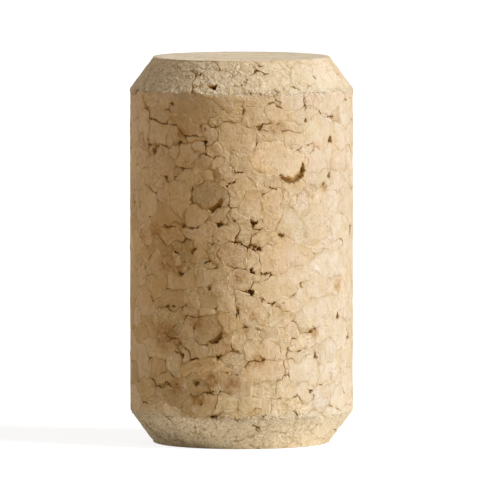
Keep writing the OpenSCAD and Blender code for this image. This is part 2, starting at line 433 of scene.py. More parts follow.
@dataclass(frozen=True)
class Pit(Gap):
    """A pit with three arms, where three granules meet."""

    size: float
    way: float

    @property
    def reach(self) -> float:
        """Length of the longest arm."""
        return PIT_REACH * self.size

    @property
    def depth(self) -> float:
        """Depth at the middle."""
        return PIT_DEPTH * self.size

    @property
    def breadth(self) -> float:
        """Distance from the middle to the outline's waist."""
        return PIT_WAIST * self.reach

    def share(self, right: Array, up: Array) -> Array:
        """Tell how far inside the three-armed outline places are.

        Args:
            right: Distances to the right of the middle.
            up: Distances above the middle.

        Returns:
            1 where the gap is deepest, 0 on its outline and less outside it.
        """
        away = np.hypot(right, up)
        turned = (np.degrees(np.arctan2(up, right)) - self.way) % 360
        arm = np.array(PIT_ARMS)[(np.round(turned / ARM_TURN) % len(PIT_ARMS)).astype(int)]
        off_arm = (turned + ARM_TURN / 2) % ARM_TURN - ARM_TURN / 2
        lobe = np.cos(np.radians(off_arm * (180 / ARM_TURN))) ** 2
        return 1 - away / (self.reach * (PIT_WAIST + (arm - PIT_WAIST) * lobe))


@dataclass(frozen=True)
class Slit(Gap):
    """A narrow opening with pointed ends, where two granules part along their seam."""

    size: float
    way: float
    length: float

    @property
    def reach(self) -> float:
        """Half of the slit's length."""
        return self.length / 2

    @property
    def depth(self) -> float:
        """Depth at the middle."""
        return SLIT_DEPTH * self.size

    @property
    def breadth(self) -> float:
        """Half of the slit's width."""
        return SLIT_W * self.size / 2

    def gloom(self, right: Array, up: Array) -> Array:
        """Show less painted shade than a pit does."""
        return np.full(len(right), SLIT_GLOOM)

    def share(self, right: Array, up: Array) -> Array:
        """Tell how far inside the lens-shaped outline places are.

        Args:
            right: Distances to the right of the middle.
            up: Distances above the middle.

        Returns:
            1 where the gap is deepest, 0 on its outline and less outside it.
        """
        way = math.radians(self.way)
        along = right * math.cos(way) + up * math.sin(way)
        across = up * math.cos(way) - right * math.sin(way)
        return 1 - (along / self.reach) ** 2 - np.abs(across) / self.breadth


@dataclass(frozen=True)
class Crescent(Gap):
    """A curved opening that runs part of the way round a rounded granule."""

    granule_r: float
    start: float
    run: float

    @property
    def reach(self) -> float:
        """Radius of the crescent's outer edge."""
        return self.granule_r + CRESCENT_W / 2

    @property
    def depth(self) -> float:
        """Depth along the middle of the crescent."""
        return CRESCENT_DEPTH

    @property
    def breadth(self) -> float:
        """Half of the crescent's width."""
        return CRESCENT_W / 2

    def share(self, right: Array, up: Array) -> Array:
        """Tell how far inside the curved outline places are.

        Args:
            right: Distances to the right of the middle.
            up: Distances above the middle.

        Returns:
            1 where the gap is deepest, 0 on its outline and less outside it.
        """
        turned = np.degrees(np.arctan2(up, right)) - self.start - self.run / 2
        off_middle = ((turned + 180) % 360 - 180) / (self.run / 2)
        across = np.abs(np.hypot(right, up) - self.granule_r) / self.breadth
        return 1 - off_middle**4 - across

    def gloom(self, right: Array, up: Array) -> Array:
        """Paint the floor's shade darker away from the rounded granule."""
        away = (np.hypot(right, up) - self.granule_r) / self.breadth
        return CRESCENT_GLOOM + (1 - CRESCENT_GLOOM) * blend(-1.0, 1.0, away)


# Gaps on the front, in the same places as the solid has them
FRONT_GAPS: tuple[Gap, ...] = (
    Pit(-15, 0.936, 0.9, 170), Pit(-38, 0.892, 0.6, 200), Pit(-54, 0.780, 0.65, 110),
    Pit(-51, 0.764, 0.8, 130), Pit(-33, 0.792, 0.7, 10), Pit(-19, 0.794, 0.85, 140),
    Pit(-14, 0.830, 0.5, 50), Pit(9, 0.830, 0.6, 25), Pit(52, 0.792, 0.8, 90),
    Pit(35, 0.846, 0.45, 80), Pit(51, 0.701, 0.6, 60), Pit(47, 0.680, 0.4, 70),
    Pit(6, 0.584, 0.9, 30), Pit(21, 0.553, 0.6, 150), Pit(9, 0.520, 0.7, 80),
    Pit(5, 0.459, 0.9, 110), Pit(5, 0.408, 0.9, 10), Pit(16, 0.378, 0.55, 30),
    Pit(10, 0.387, 0.35, 90), Pit(-26, 0.512, 0.7, 40), Pit(-32, 0.453, 0.65, 150),
    Pit(-17, 0.419, 0.4, 45), Pit(-12, 0.581, 0.8, 20), Pit(-31, 0.576, 0.6, 170),
    Pit(-12, 0.242, 0.75, 30), Pit(-32, 0.245, 0.65, 150), Pit(-24, 0.172, 0.7, 40),
    Pit(-2, 0.351, 0.55, 110), Pit(2, 0.321, 0.65, 95), Pit(38, 0.303, 0.65, 160),
    Pit(41, 0.239, 0.65, 100), Pit(32, 0.427, 0.4, 60), Pit(59, 0.336, 0.7, 70),
    Pit(11, 0.234, 0.55, 40), Pit(23, 0.196, 0.35, 80), Pit(38, 0.151, 0.5, 140),
    Pit(-14, 0.086, 0.9, 170),
    Slit(-66, 0.955, 0.8, 55, 1.6), Slit(-24, 0.968, 1.0, 30, 2.2), Slit(-27, 0.961, 0.6, 85, 1.6),
    Slit(3, 0.952, 0.8, 45, 2.6), Slit(46, 0.958, 0.5, 110, 2.8), Slit(18, 0.904, 0.45, 135, 2.6),
    Slit(35, 0.884, 0.6, 90, 2.0), Slit(1, 0.868, 0.6, 80, 2.6), Slit(44, 0.869, 0.6, 140, 1.6),
    Slit(52, 0.853, 0.6, 170, 2.6), Slit(-52, 0.848, 0.7, 165, 3.6), Slit(-57, 0.803, 0.7, 130, 1.6),
    Slit(-20, 0.829, 0.6, 145, 1.6), Slit(-25, 0.809, 0.6, 165, 1.8), Slit(10, 0.838, 0.8, 30, 1.2),
    Slit(37, 0.784, 0.5, 140, 1.6), Slit(-43, 0.701, 0.8, 170, 2.4), Slit(-1, 0.717, 0.8, 5, 1.6),
    Slit(-5, 0.690, 0.9, 30, 2.8), Slit(16, 0.674, 0.5, 165, 2.0), Slit(-26, 0.646, 0.7, 100, 1.6),
    Slit(-54, 0.588, 0.7, 145, 2.4), Slit(-25, 0.573, 1.0, 5, 2.8), Slit(-40, 0.574, 0.8, 2, 3.4),
    Slit(-3, 0.594, 0.5, 155, 2.8), Slit(-5, 0.538, 0.5, 160, 2.6), Slit(-15, 0.531, 0.7, 35, 2.0),
    Slit(3, 0.527, 0.7, 165, 3.0), Slit(42, 0.504, 0.6, 165, 1.4), Slit(-16, 0.490, 1.0, 20, 2.8),
    Slit(11, 0.455, 0.7, 10, 2.0), Slit(-4, 0.404, 0.7, 10, 1.6), Slit(12, 0.388, 0.6, 155, 2.2),
    Slit(25, 0.392, 0.45, 35, 3.0), Slit(-53, 0.384, 0.7, 135, 2.2), Slit(-40, 0.367, 1.0, 0, 3.6),
    Slit(9, 0.312, 0.5, 170, 2.6), Slit(-25, 0.309, 0.7, 95, 1.6), Slit(-41, 0.293, 0.9, 160, 2.0),
    Slit(24, 0.259, 0.5, 90, 3.4), Slit(-2, 0.254, 0.6, 160, 1.8), Slit(-24, 0.235, 1.0, 5, 2.8),
    Slit(-5, 0.200, 0.5, 165, 2.6), Slit(-40, 0.168, 0.7, 2, 3.4), Slit(-53, 0.178, 0.5, 135, 2.2),
    Slit(46, 0.165, 0.5, 175, 2.4), Slit(40, 0.134, 0.6, 100, 1.4), Slit(-16, 0.150, 0.8, 20, 2.8),
    Slit(-21, 0.122, 0.6, 35, 1.4), Slit(-67, 0.045, 1.0, 125, 1.6), Slit(-26, 0.058, 0.8, 100, 1.6),
    Slit(-23, 0.032, 1.0, 150, 1.8), Slit(8, 0.060, 0.8, 140, 2.4), Slit(45, 0.050, 0.5, 65, 2.2),
    Crescent(26, 0.730, 1.6, -150, 165), Crescent(-17, 0.655, 1.5, -95, 85),
    Crescent(-17, 0.313, 1.5, -95, 85),
)
# Places on the lit right of the front where seams are pressed tight and painted light pales the cork:
# turn, height and reach
TIGHT_LIT_SPOTS = (
    (50, 42.4, 2.6), (50, 1.6, 2.6), (50, 38.0, 3.0), (45, 31.0, 3.0), (60, 27.0, 3.5),
    (48, 24.5, 3.5), (55, 20.0, 3.5), (38, 16.5, 3.0), (58, 13.0, 3.5), (48, 7.5, 3.0),
    (30, 21.5, 2.5), (22, 33.0, 2.0), (68, 37.0, 3.0), (70, 31.0, 3.5), (72, 23.0, 3.5),
    (70, 16.0, 3.5), (70, 8.5, 3.5), (66, 4.5, 2.5), (33, 27.0, 2.0), (34, 38.0, 1.8),
    (34, 8.5, 2.0),
)
# Places on the front where seams show dark: turn, height and reach
DARK_SPOTS = (
    (-17, 28.7, 2.6), (-17, 13.8, 2.6), (-50, 36.8, 2.0), (-30, 34.6, 2.2), (-16, 36.0, 1.6),
    (-30, 25.2, 2.2), (-14, 31.4, 1.6), (-52, 34.4, 1.6), (-40, 16.2, 2.0), (-42, 8.6, 1.8),
    (-30, 10.8, 1.6), (-22, 6.6, 1.8), (-5, 37.4, 1.2), (-14, 22.2, 1.6), (6, 24.0, 1.0),
)
# Places on the front chamfers where grinding has torn the cork most: turn, height and reach
TORN_SPOTS = (
    (-60, 42.0, 2.2), (-42, 42.2, 2.6), (-24, 42.2, 2.6), (-6, 43.0, 1.4), (8, 43.2, 1.0),
    (-60, 2.0, 2.2), (-42, 1.8, 2.6), (-24, 1.8, 2.6), (-6, 1.2, 1.6), (8, 1.0, 1.4),
)
# Brown stains on the front: turn, height and reach
STAINS = (
    (17.4, 36.5, 0.75), (20.6, 36.5, 0.7), (-1, 19.6, 0.7), (-38, 21.7, 0.9), (-5, 7.5, 1.1),
    (9, 10.3, 0.8), (-33, 35.9, 0.6), (-24, 14.6, 0.9), (-44, 13.4, 1.2), (-37, 7.2, 0.9),
    (-15, 8.0, 0.9), (-42, 21.2, 1.4), (-34, 20.9, 1.2), (-43, 12.8, 1.8), (-35, 12.5, 1.2),
    (47, 29.6, 0.6), (60, 18.3, 0.8), (41, 13.2, 0.6), (-50, 24.6, 0.9),
    (-22, 5.9, 0.8), (6, 15.2, 0.5), (-62, 24.0, 0.8), (2, 13.8, 0.5),
)
# Width of a usual granule, and half of the front, in degrees, where gaps are listed one by one
GRANULE_W = 3.4
FRONT_HALF = 68.0
# Elsewhere gaps are scattered, each by these steps on from the one before
TURN_STEP = 0.7548776662
HEIGHT_STEP = 0.5698402909
SIZE_STEP = 0.6180339887
GOLDEN_TURN = 137.50776
# Round the back: how many granules there are to a gap, and the gaps' sizes
GRANULES_PER_GAP = 2.2
LEAST_BACK_SIZE = 0.4
BACK_SIZE_RANGE = 0.6
# On the ends: the same, and how far out the pits spread
GRANULES_PER_END_PIT = 4.0
LEAST_END_SIZE = 0.35
END_SIZE_RANGE = 0.3
END_SPREAD = 0.9


def back_gaps(form: StopperForm) -> list[Gap]:
    """List the gaps round the back, in the same places as the solid has them.

    Args:
        form: Plain form of the stopper.

    Returns:
        Pits and slits by turns, spread evenly outside the front.
    """
    back_turn = 360 - 2 * FRONT_HALF
    area = math.pi * form.diameter * form.length * back_turn / 360
    gaps: list[Gap] = []
    for i in range(1, round(area / (GRANULES_PER_GAP * GRANULE_W**2)) + 1):
        size = LEAST_BACK_SIZE + BACK_SIZE_RANGE * (i * SIZE_STEP % 1)
        turn = FRONT_HALF + back_turn * (i * TURN_STEP % 1)
        height = i * HEIGHT_STEP % 1
        if i % 2 == 0:
            gaps.append(Pit(turn, height, size, i * GOLDEN_TURN))
        else:
            gaps.append(Slit(turn, height, size, i * GOLDEN_TURN, size * GRANULE_W))
    return gaps


@dataclass(frozen=True)
class Bed:
    """A gap laid on the skin: its middle and the ways to the right, up and out."""

    gap: Gap
    middle: Array
    right: Array
    up: Array
    out: Array


def laid_gaps(form: StopperForm) -> list[Bed]:
    """Lay every gap on the skin, where the solid has it.

    Args:
        form: Plain form of the stopper.

    Returns:
        One bed for each gap.
    """
    gaps = [*FRONT_GAPS, *back_gaps(form)]
    turns = np.array([gap.turn for gap in gaps])
    heights = np.array([gap.height * form.length for gap in gaps])
    beds = [Bed(gap, *ways) for gap, *ways in zip(gaps, *form.place(turns, heights))]
    area = math.pi * form.end_r**2
    count = round(area / (GRANULES_PER_END_PIT * GRANULE_W**2))
    for i in range(1, count + 1):
        size = LEAST_END_SIZE + END_SIZE_RANGE * (i * SIZE_STEP % 1)
        away = END_SPREAD * form.end_r * math.sqrt((i - 0.5) / count)
        way = math.radians(i * GOLDEN_TURN)
        for side in (1, -1):
            gap = Pit(0, (1 + side) / 2, size, -i * GOLDEN_TURN)
            middle = [away * math.cos(way), side * away * math.sin(way), gap.height * form.length]
            ways = np.diag([1.0, side, side])
            beds.append(Bed(gap, np.array(middle), *ways))
    return beds


# Tints of the granules that aren't listed, each as often as it is drawn
FILL_TINTS = (
    Tint.PLAIN, Tint.PLAIN, Tint.PLAIN, Tint.PALE, Tint.PALE, Tint.ROSY, Tint.OLIVE, Tint.BROWN,
    Tint.FLAT,
)


@dataclass
class GranulePack:
    """Granules packed over the whole skin, each with its own stretched ruler.

    Lengths are in millimetres. A ruler gives 1 at its granule's own edge.
    """

    form: StopperForm
    beds: list[Bed]
    # Granules that aren't listed: half widths, how many are tried, and how they vary
    largest: float = 2.0
    smallest: float = 0.6
    tries: int = 7000
    widest: float = 1.5
    lean_spread: float = 30.0
    shade_spread: float = 0.35
    row_step: float = 0.4
    # How near to each other they may lie, by their half widths and by a neighbour's ruler
    closeness: float = 0.74
    clearance: float = 1.3
    # How plain the grain shows at least, and how plain in olive granules
    faint_grain: float = 0.25
    plain_grain: float = 1.5
    # Swellings that make edges uneven: size and reach
    wobbles: tuple[tuple[float, float], ...] = ((1.9, 0.95), (0.8, 0.26), (0.4, 0.10))
    # How seams are pulled to the gaps: reach of one pull and how many reaches count, then
    # the furthest shift, the shifts tried and the cost of a shift
    pull_reach: float = 0.8
    pull_cutoff: float = 2.5
    furthest_pull: float = 1.1
    pull_steps: int = 23
    pull_cost: float = 0.12
    # Least slope of a seam, for where two rulers run nearly alike
    least_slope: float = 0.2
    middles: Array = field(init=False)
    rulers: Array = field(init=False)
    colours: Array = field(init=False)
    lots: Array = field(init=False)
    grained: Array = field(init=False)
    weights: Array = field(init=False)
    pulls: Array = field(init=False)

    def __post_init__(self) -> None:
        """Set out the front granules, fill the rest of the skin and find the pulls."""
        chance = np.random.default_rng(SEED)
        self._set_front()
        self._fill(chance)
        self.lots = chance.random(len(self.middles))
        shown = blend(0.45, 0.95, self.lots * 7 % 1)
        self.grained = self.faint_grain + (1 - self.faint_grain) * shown
        olive = [number for number, row in enumerate(FRONT_GRANULES) if row.tint is Tint.OLIVE]
        self.grained[olive] = self.plain_grain
        self.weights = self._ruler_weights()
        self.pulls = np.array([self._pull(bed) for bed in self.beds])

    def _set_front(self) -> None:
        """Set the granules that are listed for the front."""
        rows = FRONT_GRANULES
        turns = np.array([row.turn for row in rows], dtype=float)
        heights = np.array([row.height for row in rows], dtype=float)
        middles, right, up, out = self.form.place(turns, heights)
        lean = np.radians([row.lean for row in rows])[:, None]
        long_way = np.cos(lean) * right + np.sin(lean) * up
        high_way = np.cos(lean) * up - np.sin(lean) * right
        half_w = np.array([row.half_w for row in rows])
        half_h = np.array([row.half_h for row in rows])
        self.middles = middles
        self.rulers = self._rulers(half_w, half_h, long_way, high_way, out)
        self.colours = np.array([self._coloured(row.tint, row.shade) for row in rows])

    @staticmethod
    def _rulers(half_w: Array, half_h: Array, long: Array, high: Array, out: Array) -> Array:
        """Stretch each granule's ruler so that its own edge is at distance one."""
        halves = [half[:, None] for half in (half_w, half_h, np.sqrt(half_w * half_h))]
        return np.stack([long / halves[0], high / halves[1], out / halves[2]], axis=1)

    @staticmethod
    def _coloured(tint: Tint, shade: float) -> Array:
        """Lighten or darken a tint by a shade from -1 to 1."""
        return np.array(tint.value) * (1 + SHADE_STEP * shade)

    def _fill(self, chance: np.random.Generator) -> None:
        """Pack granules wherever none is listed, the largest first.

        Args:
            chance: Source of the random draws.
        """
        rows = self.form.half_section(self.row_step)
        area = rows[:, 0] * np.gradient(rows[:, 4])
        picked = chance.choice(len(rows), self.tries, p=area / area.sum())
        turns = chance.uniform(-math.pi, math.pi, self.tries)
        sizes = np.linspace(self.largest, self.smallest, self.tries)
        stretch = chance.uniform(1.0, self.widest, self.tries)
        leans = np.radians(chance.normal(0, self.lean_spread, self.tries))
        tints = chance.choice(len(FILL_TINTS), self.tries)
        shades = np.clip(chance.normal(0, self.shade_spread, self.tries), -1, 1)
        extents = [np.sqrt(1 / np.linalg.norm(self.rulers[:, i], axis=1)) for i in (0, 1)]
        reach = list(extents[0] * extents[1])
        middles = list(self.middles)
        rulers = list(self.rulers)
        colours = list(self.colours)
        for row, turn, size, wide, lean, tint, shade in zip(
            rows[picked], turns, sizes, stretch, leans, tints, shades
        ):
            flat = np.array([math.sin(turn), -math.cos(turn), 0.0])
            middle = row[0] * flat + np.array([0.0, 0.0, row[1]])
            apart = middle - np.array(middles)
            if np.any(np.linalg.norm(apart, axis=1) < self.closeness * (size + np.array(reach))):
                continue
            own = np.linalg.norm(np.einsum("jkl,jl->jk", np.array(rulers), apart), axis=1)
            if np.any(own < self.clearance):
                continue
            out = row[2] * flat + np.array([0.0, 0.0, row[3]])
            right = np.array([math.cos(turn), math.sin(turn), 0.0])
            up = np.cross(out, right)
            long_way = math.cos(lean) * right + math.sin(lean) * up
            high_way = math.cos(lean) * up - math.sin(lean) * right
            middles.append(middle)
            reach.append(size)
            rulers.append(np.stack([long_way / (size * wide), high_way / size * wide, out / size]))
            colours.append(self._coloured(FILL_TINTS[tint], shade))
        self.middles = np.array(middles)
        self.rulers = np.array(rulers)
        self.colours = np.array(colours)

    def _ruler_weights(self) -> Array:
        """Work out the weights that give every squared distance in one product.

        Returns:
            For each granule, a weight of each product and coordinate, in the order of nearest().
        """
        square = np.einsum("jkl,jkm->jlm", self.rulers, self.rulers)
        line = np.einsum("jlm,jm->jl", square, self.middles)
        level = np.einsum("jl,jl->j", line, self.middles)
        return np.stack(
            [
                square[:, 0, 0], square[:, 1, 1], square[:, 2, 2],
                2 * square[:, 0, 1], 2 * square[:, 0, 2], 2 * square[:, 1, 2],
                -2 * line[:, 0], -2 * line[:, 1], -2 * line[:, 2], level,
            ]
        )

    def nearest(self, places: Array) -> tuple[Array, Array]:
        """Find the three granules nearest to each place by their own rulers.

        Args:
            places: Places in millimetres, one in each row.

        Returns:
            The three granules' numbers, nearest first, and their distances.
        """
        x, y, z = places.T
        terms = np.stack([x * x, y * y, z * z, x * y, x * z, y * z, x, y, z, np.ones_like(x)], 1)
        squared = terms @ self.weights
        near = np.argpartition(squared, 3, axis=1)[:, :3]
        found = np.take_along_axis(squared, near, axis=1)
        order = np.argsort(found, axis=1)
        near = np.take_along_axis(near, order, axis=1)
        found = np.take_along_axis(found, order, axis=1)
        return near, np.sqrt(np.clip(found, 0, None))

    def _wobbled(self, places: Array) -> Array:
        """Shift places by smooth noise, so that edges come out uneven.

        Args:
            places: Places in millimetres, one in each row.

        Returns:
            The shifted places.
        """
        moved = places.copy()
        for grain, reach in self.wobbles:
            for axis in range(3):
                moved[:, axis] += reach * rumple(places, grain, Lot.WOBBLE + axis)
        return moved

    def _pull(self, bed: Bed) -> Array:
        """Find the shift that brings the nearest seam or junction to a gap.

        Args:
            bed: The gap, laid on the skin.

        Returns:
            The shift, which is none for a crescent.
        """
        if isinstance(bed.gap, Crescent):
            return np.zeros(3)
        steps = np.linspace(-self.furthest_pull, self.furthest_pull, self.pull_steps)
        across, along = (grid.ravel() for grid in np.meshgrid(steps, steps))
        shift = across[:, None] * bed.right + along[:, None] * bed.up
        start = self._wobbled(bed.middle[None, :])
        _, found = self.nearest(start + shift)
        rank = 2 if isinstance(bed.gap, Pit) else 1
        miss = found[:, rank] - found[:, 0] + self.pull_cost * np.hypot(across, along)
        return shift[np.argmin(miss)]

    def settled(self, places: Array) -> Array:
        """Shift places so that edges are uneven and seams pass through the gaps.

        Args:
            places: Places in millimetres, one in each row.

        Returns:
            The shifted places.
        """
        moved = self._wobbled(places)
        total = np.zeros(len(places))
        shift = np.zeros_like(places)
        for bed, pull in zip(self.beds, self.pulls):
            away = ((places - bed.middle) ** 2).sum(axis=1)
            near = away < (self.pull_cutoff * self.pull_reach) ** 2
            weight = np.exp(-away[near] / self.pull_reach**2)
            total[near] += weight
            shift[near] += weight[:, None] * pull
        return moved + shift / np.maximum(total, 1)[:, None]

    def own_distance(self, places: Array, granules: Array) -> Array:
        """Distance from each place to one granule's middle, by that granule's ruler."""
        apart = places - self.middles[granules]
        return np.linalg.norm(np.einsum("nkl,nl->nk", self.rulers[granules], apart), axis=1)

    def seam_distance(self, places: Array, near: Array, found: Array) -> Array:
        """Estimate how far places are from the nearest seam.

        Args:
            places: Places in millimetres, one in each row.
            near: The numbers of the nearest granules, nearest first.
            found: Their distances, by their own rulers.

        Returns:
            The distance of each place, in millimetres.
        """
        ways: list[Array] = []
        for rank in (0, 1):
            ruler = self.rulers[near[:, rank]]
            apart = places - self.middles[near[:, rank]]
            own = np.einsum("nkl,nl->nk", ruler, apart)
            way = np.einsum("nkl,nk->nl", ruler, own)
            ways.append(way / np.maximum(found[:, rank], LEAST)[:, None])
        slope = np.linalg.norm(ways[1] - ways[0], axis=1)
        return (found[:, 1] - found[:, 0]) / np.maximum(slope, self.least_slope)


@dataclass
class Net:
    """A net of triangles on the plain form, which can be cut along lines.

    Each place keeps how far along the half section it lies, and any number of named marks. Both
    are shared out along an edge when it is cut.
    """

    form: StopperForm
    step: float
    looseness: float = 0.22
    rows: Array = field(init=False)
    places: Array = field(init=False)
    walks: Array = field(init=False)
    faces: Array = field(init=False)
    granules: Array = field(init=False)
    marks: dict[str, Array] = field(default_factory=dict)

    def __post_init__(self) -> None:
        """Draw the rings of places and the triangles between them."""
        self.rows = self.form.half_section(self.step)
        chance = np.random.default_rng(SEED + 1)
        rings: list[Array] = []
        places: list[Array] = []
        walks: list[Array] = []
        for number, (radius, height, _, _, walked) in enumerate(self.rows):
            count = max(1, round(2 * math.pi * radius / self.step))
            turns = (np.arange(count) + number % 2 / 2) * 2 * math.pi / count
            turns += chance.uniform(-1, 1, count) * self.looseness * 2 * math.pi / count
            ring = np.stack([np.sin(turns), -np.cos(turns), 0 * turns], axis=1) * radius
            places.append(ring + np.array([0.0, 0.0, height]))
            walks.append(np.full(count, walked))
            start = sum(len(ring) for ring in rings)
            rings.append(start + np.arange(count))
        self.places = np.concatenate(places)
        self.walks = np.concatenate(walks)
        self.faces = np.concatenate(
            [self._stitched(low, high) for low, high in zip(rings, rings[1:])]
        )
        self.granules = np.full(len(self.faces), -1)

    @property
    def total_walk(self) -> float:
        """Length of the whole half section."""
        return float(self.rows[-1, 4])

    def _turns(self, ring: Array) -> Array:
        """Turns of a ring's places from the front, rising by one round."""
        turns = np.arctan2(self.places[ring, 0], -self.places[ring, 1])
        return np.unwrap(np.append(turns, turns[0] + 2 * math.pi))

    def _stitched(self, low: Array, high: Array) -> Array:
        """Join two rings by triangles.

        Args:
            low: Place numbers of the lower ring, rightwards.
            high: Place numbers of the upper ring, rightwards.

        Returns:
            Triangles, each wound so that it faces outwards.
        """
        if len(low) == 1:
            return np.array([(low[0], b, a) for a, b in zip(high, np.roll(high, -1))])
        if len(high) == 1:
            return np.array([(a, b, high[0]) for a, b in zip(low, np.roll(low, -1))])
        low_turns = self._turns(low)
        high_turns = self._turns(high)
        high_turns += 2 * math.pi * round((low_turns[0] - high_turns[0]) / (2 * math.pi))
        faces: list[tuple[int, int, int]] = []
        i = j = 0
        while i < len(low) or j < len(high):
            here = (low[i % len(low)], high[j % len(high)])
            ahead_low = low_turns[i + 1] if i < len(low) else math.inf
            ahead_high = high_turns[j + 1] if j < len(high) else math.inf
            if ahead_low <= ahead_high:
                i += 1
                faces.append((here[0], low[i % len(low)], here[1]))
            else:
                j += 1
                faces.append((here[0], high[j % len(high)], here[1]))
        return np.array(faces)

    def edges(self) -> tuple[Array, Array]:
        """List each edge once.

        Returns:
            The two places of each edge, and which edges each triangle has, in the order of its
            corners.
        """
        ends = np.sort(self.faces[:, [[0, 1], [1, 2], [2, 0]]].reshape(-1, 2), axis=1)
        codes = ends[:, 0].astype(np.int64) * len(self.places) + ends[:, 1]
        codes, which = np.unique(codes, return_inverse=True)
        return np.stack(np.divmod(codes, len(self.places)), axis=1), which.reshape(-1, 3)

    def _add(self, mixes: Array, shares: Array) -> None:
        """Add places, each mixed from others, and lay them on the plain form.

        Args:
            mixes: Numbers of the places that each new one is mixed from, in rows.
            shares: How much of each goes in, in rows that add up to one.
        """
        places = (self.places[mixes] * shares[:, :, None]).sum(axis=1)
        walks = (self.walks[mixes] * shares).sum(axis=1)
        away = np.linalg.norm(places[:, :2], axis=1)
        radius = np.interp(walks, self.rows[:, 4], self.rows[:, 0])
        height = np.interp(walks, self.rows[:, 4], self.rows[:, 1])
        on_end = (height < LEAST) | (height > self.form.length - LEAST)
        end_walks = np.where(height < self.form.length / 2, away, self.total_walk - away)
        walks = np.where(on_end, end_walks, walks)
        places[:, :2] *= np.where(on_end, 1, radius / np.maximum(away, TINY))[:, None]
        places[:, 2] = height
        self.places = np.concatenate([self.places, places])
        self.walks = np.concatenate([self.walks, walks])
        for name, values in self.marks.items():
            mixed = (values[mixes] * shares).sum(axis=1)
            self.marks[name] = np.concatenate([values, mixed])

    def split(self, chosen: Array, share: Array, centred: bool = False) -> None:
        """Put a new place on every chosen edge and redraw the triangles beside it.

        Args:
            chosen: Whether each edge gets a place, in the order that edges() lists them.
            share: How far along each edge the place lies, from 0 to 1.
            centred: Whether a triangle with all its edges chosen gets a place in its middle.
        """
        pairs, which = self.edges()
        fresh = np.full(len(pairs), -1)
        fresh[chosen] = len(self.places) + np.arange(int(chosen.sum()))
        along = share[chosen]
        self._add(pairs[chosen], np.stack([1 - along, along], axis=1))
        mids = fresh[which]
        count = (mids >= 0).sum(axis=1)
        parts = [self.faces[count == 0]]
        origins = [np.flatnonzero(count == 0)]

        def turned(pick: Array, first: Array) -> tuple[Array, Array]:
            """Take the picked triangles' corners and edge places, starting from one corner."""
            rows, order = pick[:, None], (first[:, None] + np.arange(3)) % 3
            return self.faces[rows, order].T, mids[rows, order].T

        def draw(pick: Array, *corners: Array) -> None:
            """Add one triangle for each of the picked ones."""
            parts.append(np.stack(corners, axis=1))
            origins.append(pick)

        pick = np.flatnonzero(count == 1)
        (a, b, c), (p, _, _) = turned(pick, np.argmax(mids[pick] >= 0, axis=1))
        draw(pick, a, p, c)
        draw(pick, p, b, c)
        pick = np.flatnonzero(count == 2)
        (a, b, c), (p, _, q) = turned(pick, np.argmin(mids[pick] >= 0, axis=1) + 2)
        draw(pick, a, p, q)
        span_pc = np.linalg.norm(self.places[p] - self.places[c], axis=1)
        span_bq = np.linalg.norm(self.places[b] - self.places[q], axis=1)
        short = span_pc < span_bq
        draw(pick, p, b, np.where(short, c, q))
        draw(pick, np.where(short, p, b), c, q)
        pick = np.flatnonzero(count == 3)
        (a, b, c), (p, q, r) = turned(pick, np.zeros(len(pick), dtype=int))
        if centred:
            middle = len(self.places) + np.arange(len(pick))
            self._add(mids[pick], np.full((len(pick), 3), 1 / 3))
            for first, second in ((a, p), (p, b), (b, q), (q, c), (c, r), (r, a)):
                draw(pick, first, second, middle)
        else:
            for corners in ((a, p, r), (p, b, q), (q, c, r), (p, q, r)):
                draw(pick, *corners)
        self.faces = np.concatenate(parts)
        self.granules = self.granules[np.concatenate(origins)]

    def refine(self, wanted: Array) -> None:
        """Halve every edge that touches a wanted place.

        Args:
            wanted: Whether the net should be finer at each place.
        """
        pairs, _ = self.edges()
        chosen = wanted[pairs].any(axis=1)
        self.split(chosen, np.full(len(pairs), 0.5))

    def cut(self, level: Array, least: float = 0.12) -> Array:
        """Cut the net along the line where a level crosses zero.

        Args:
            level: Level at each place.
            least: Least share of an edge that is left on either side.

        Returns:
            Whether each place, of the old and new ones, lies on the line.
        """
        before = len(self.places)
        pairs, _ = self.edges()
        ends = level[pairs]
        chosen = (ends[:, 0] > 0) != (ends[:, 1] > 0)
        fall = np.where(chosen, ends[:, 0] - ends[:, 1], 1)
        self.split(chosen, np.clip(ends[:, 0] / fall, least, 1 - least))
        return np.arange(len(self.places)) >= before


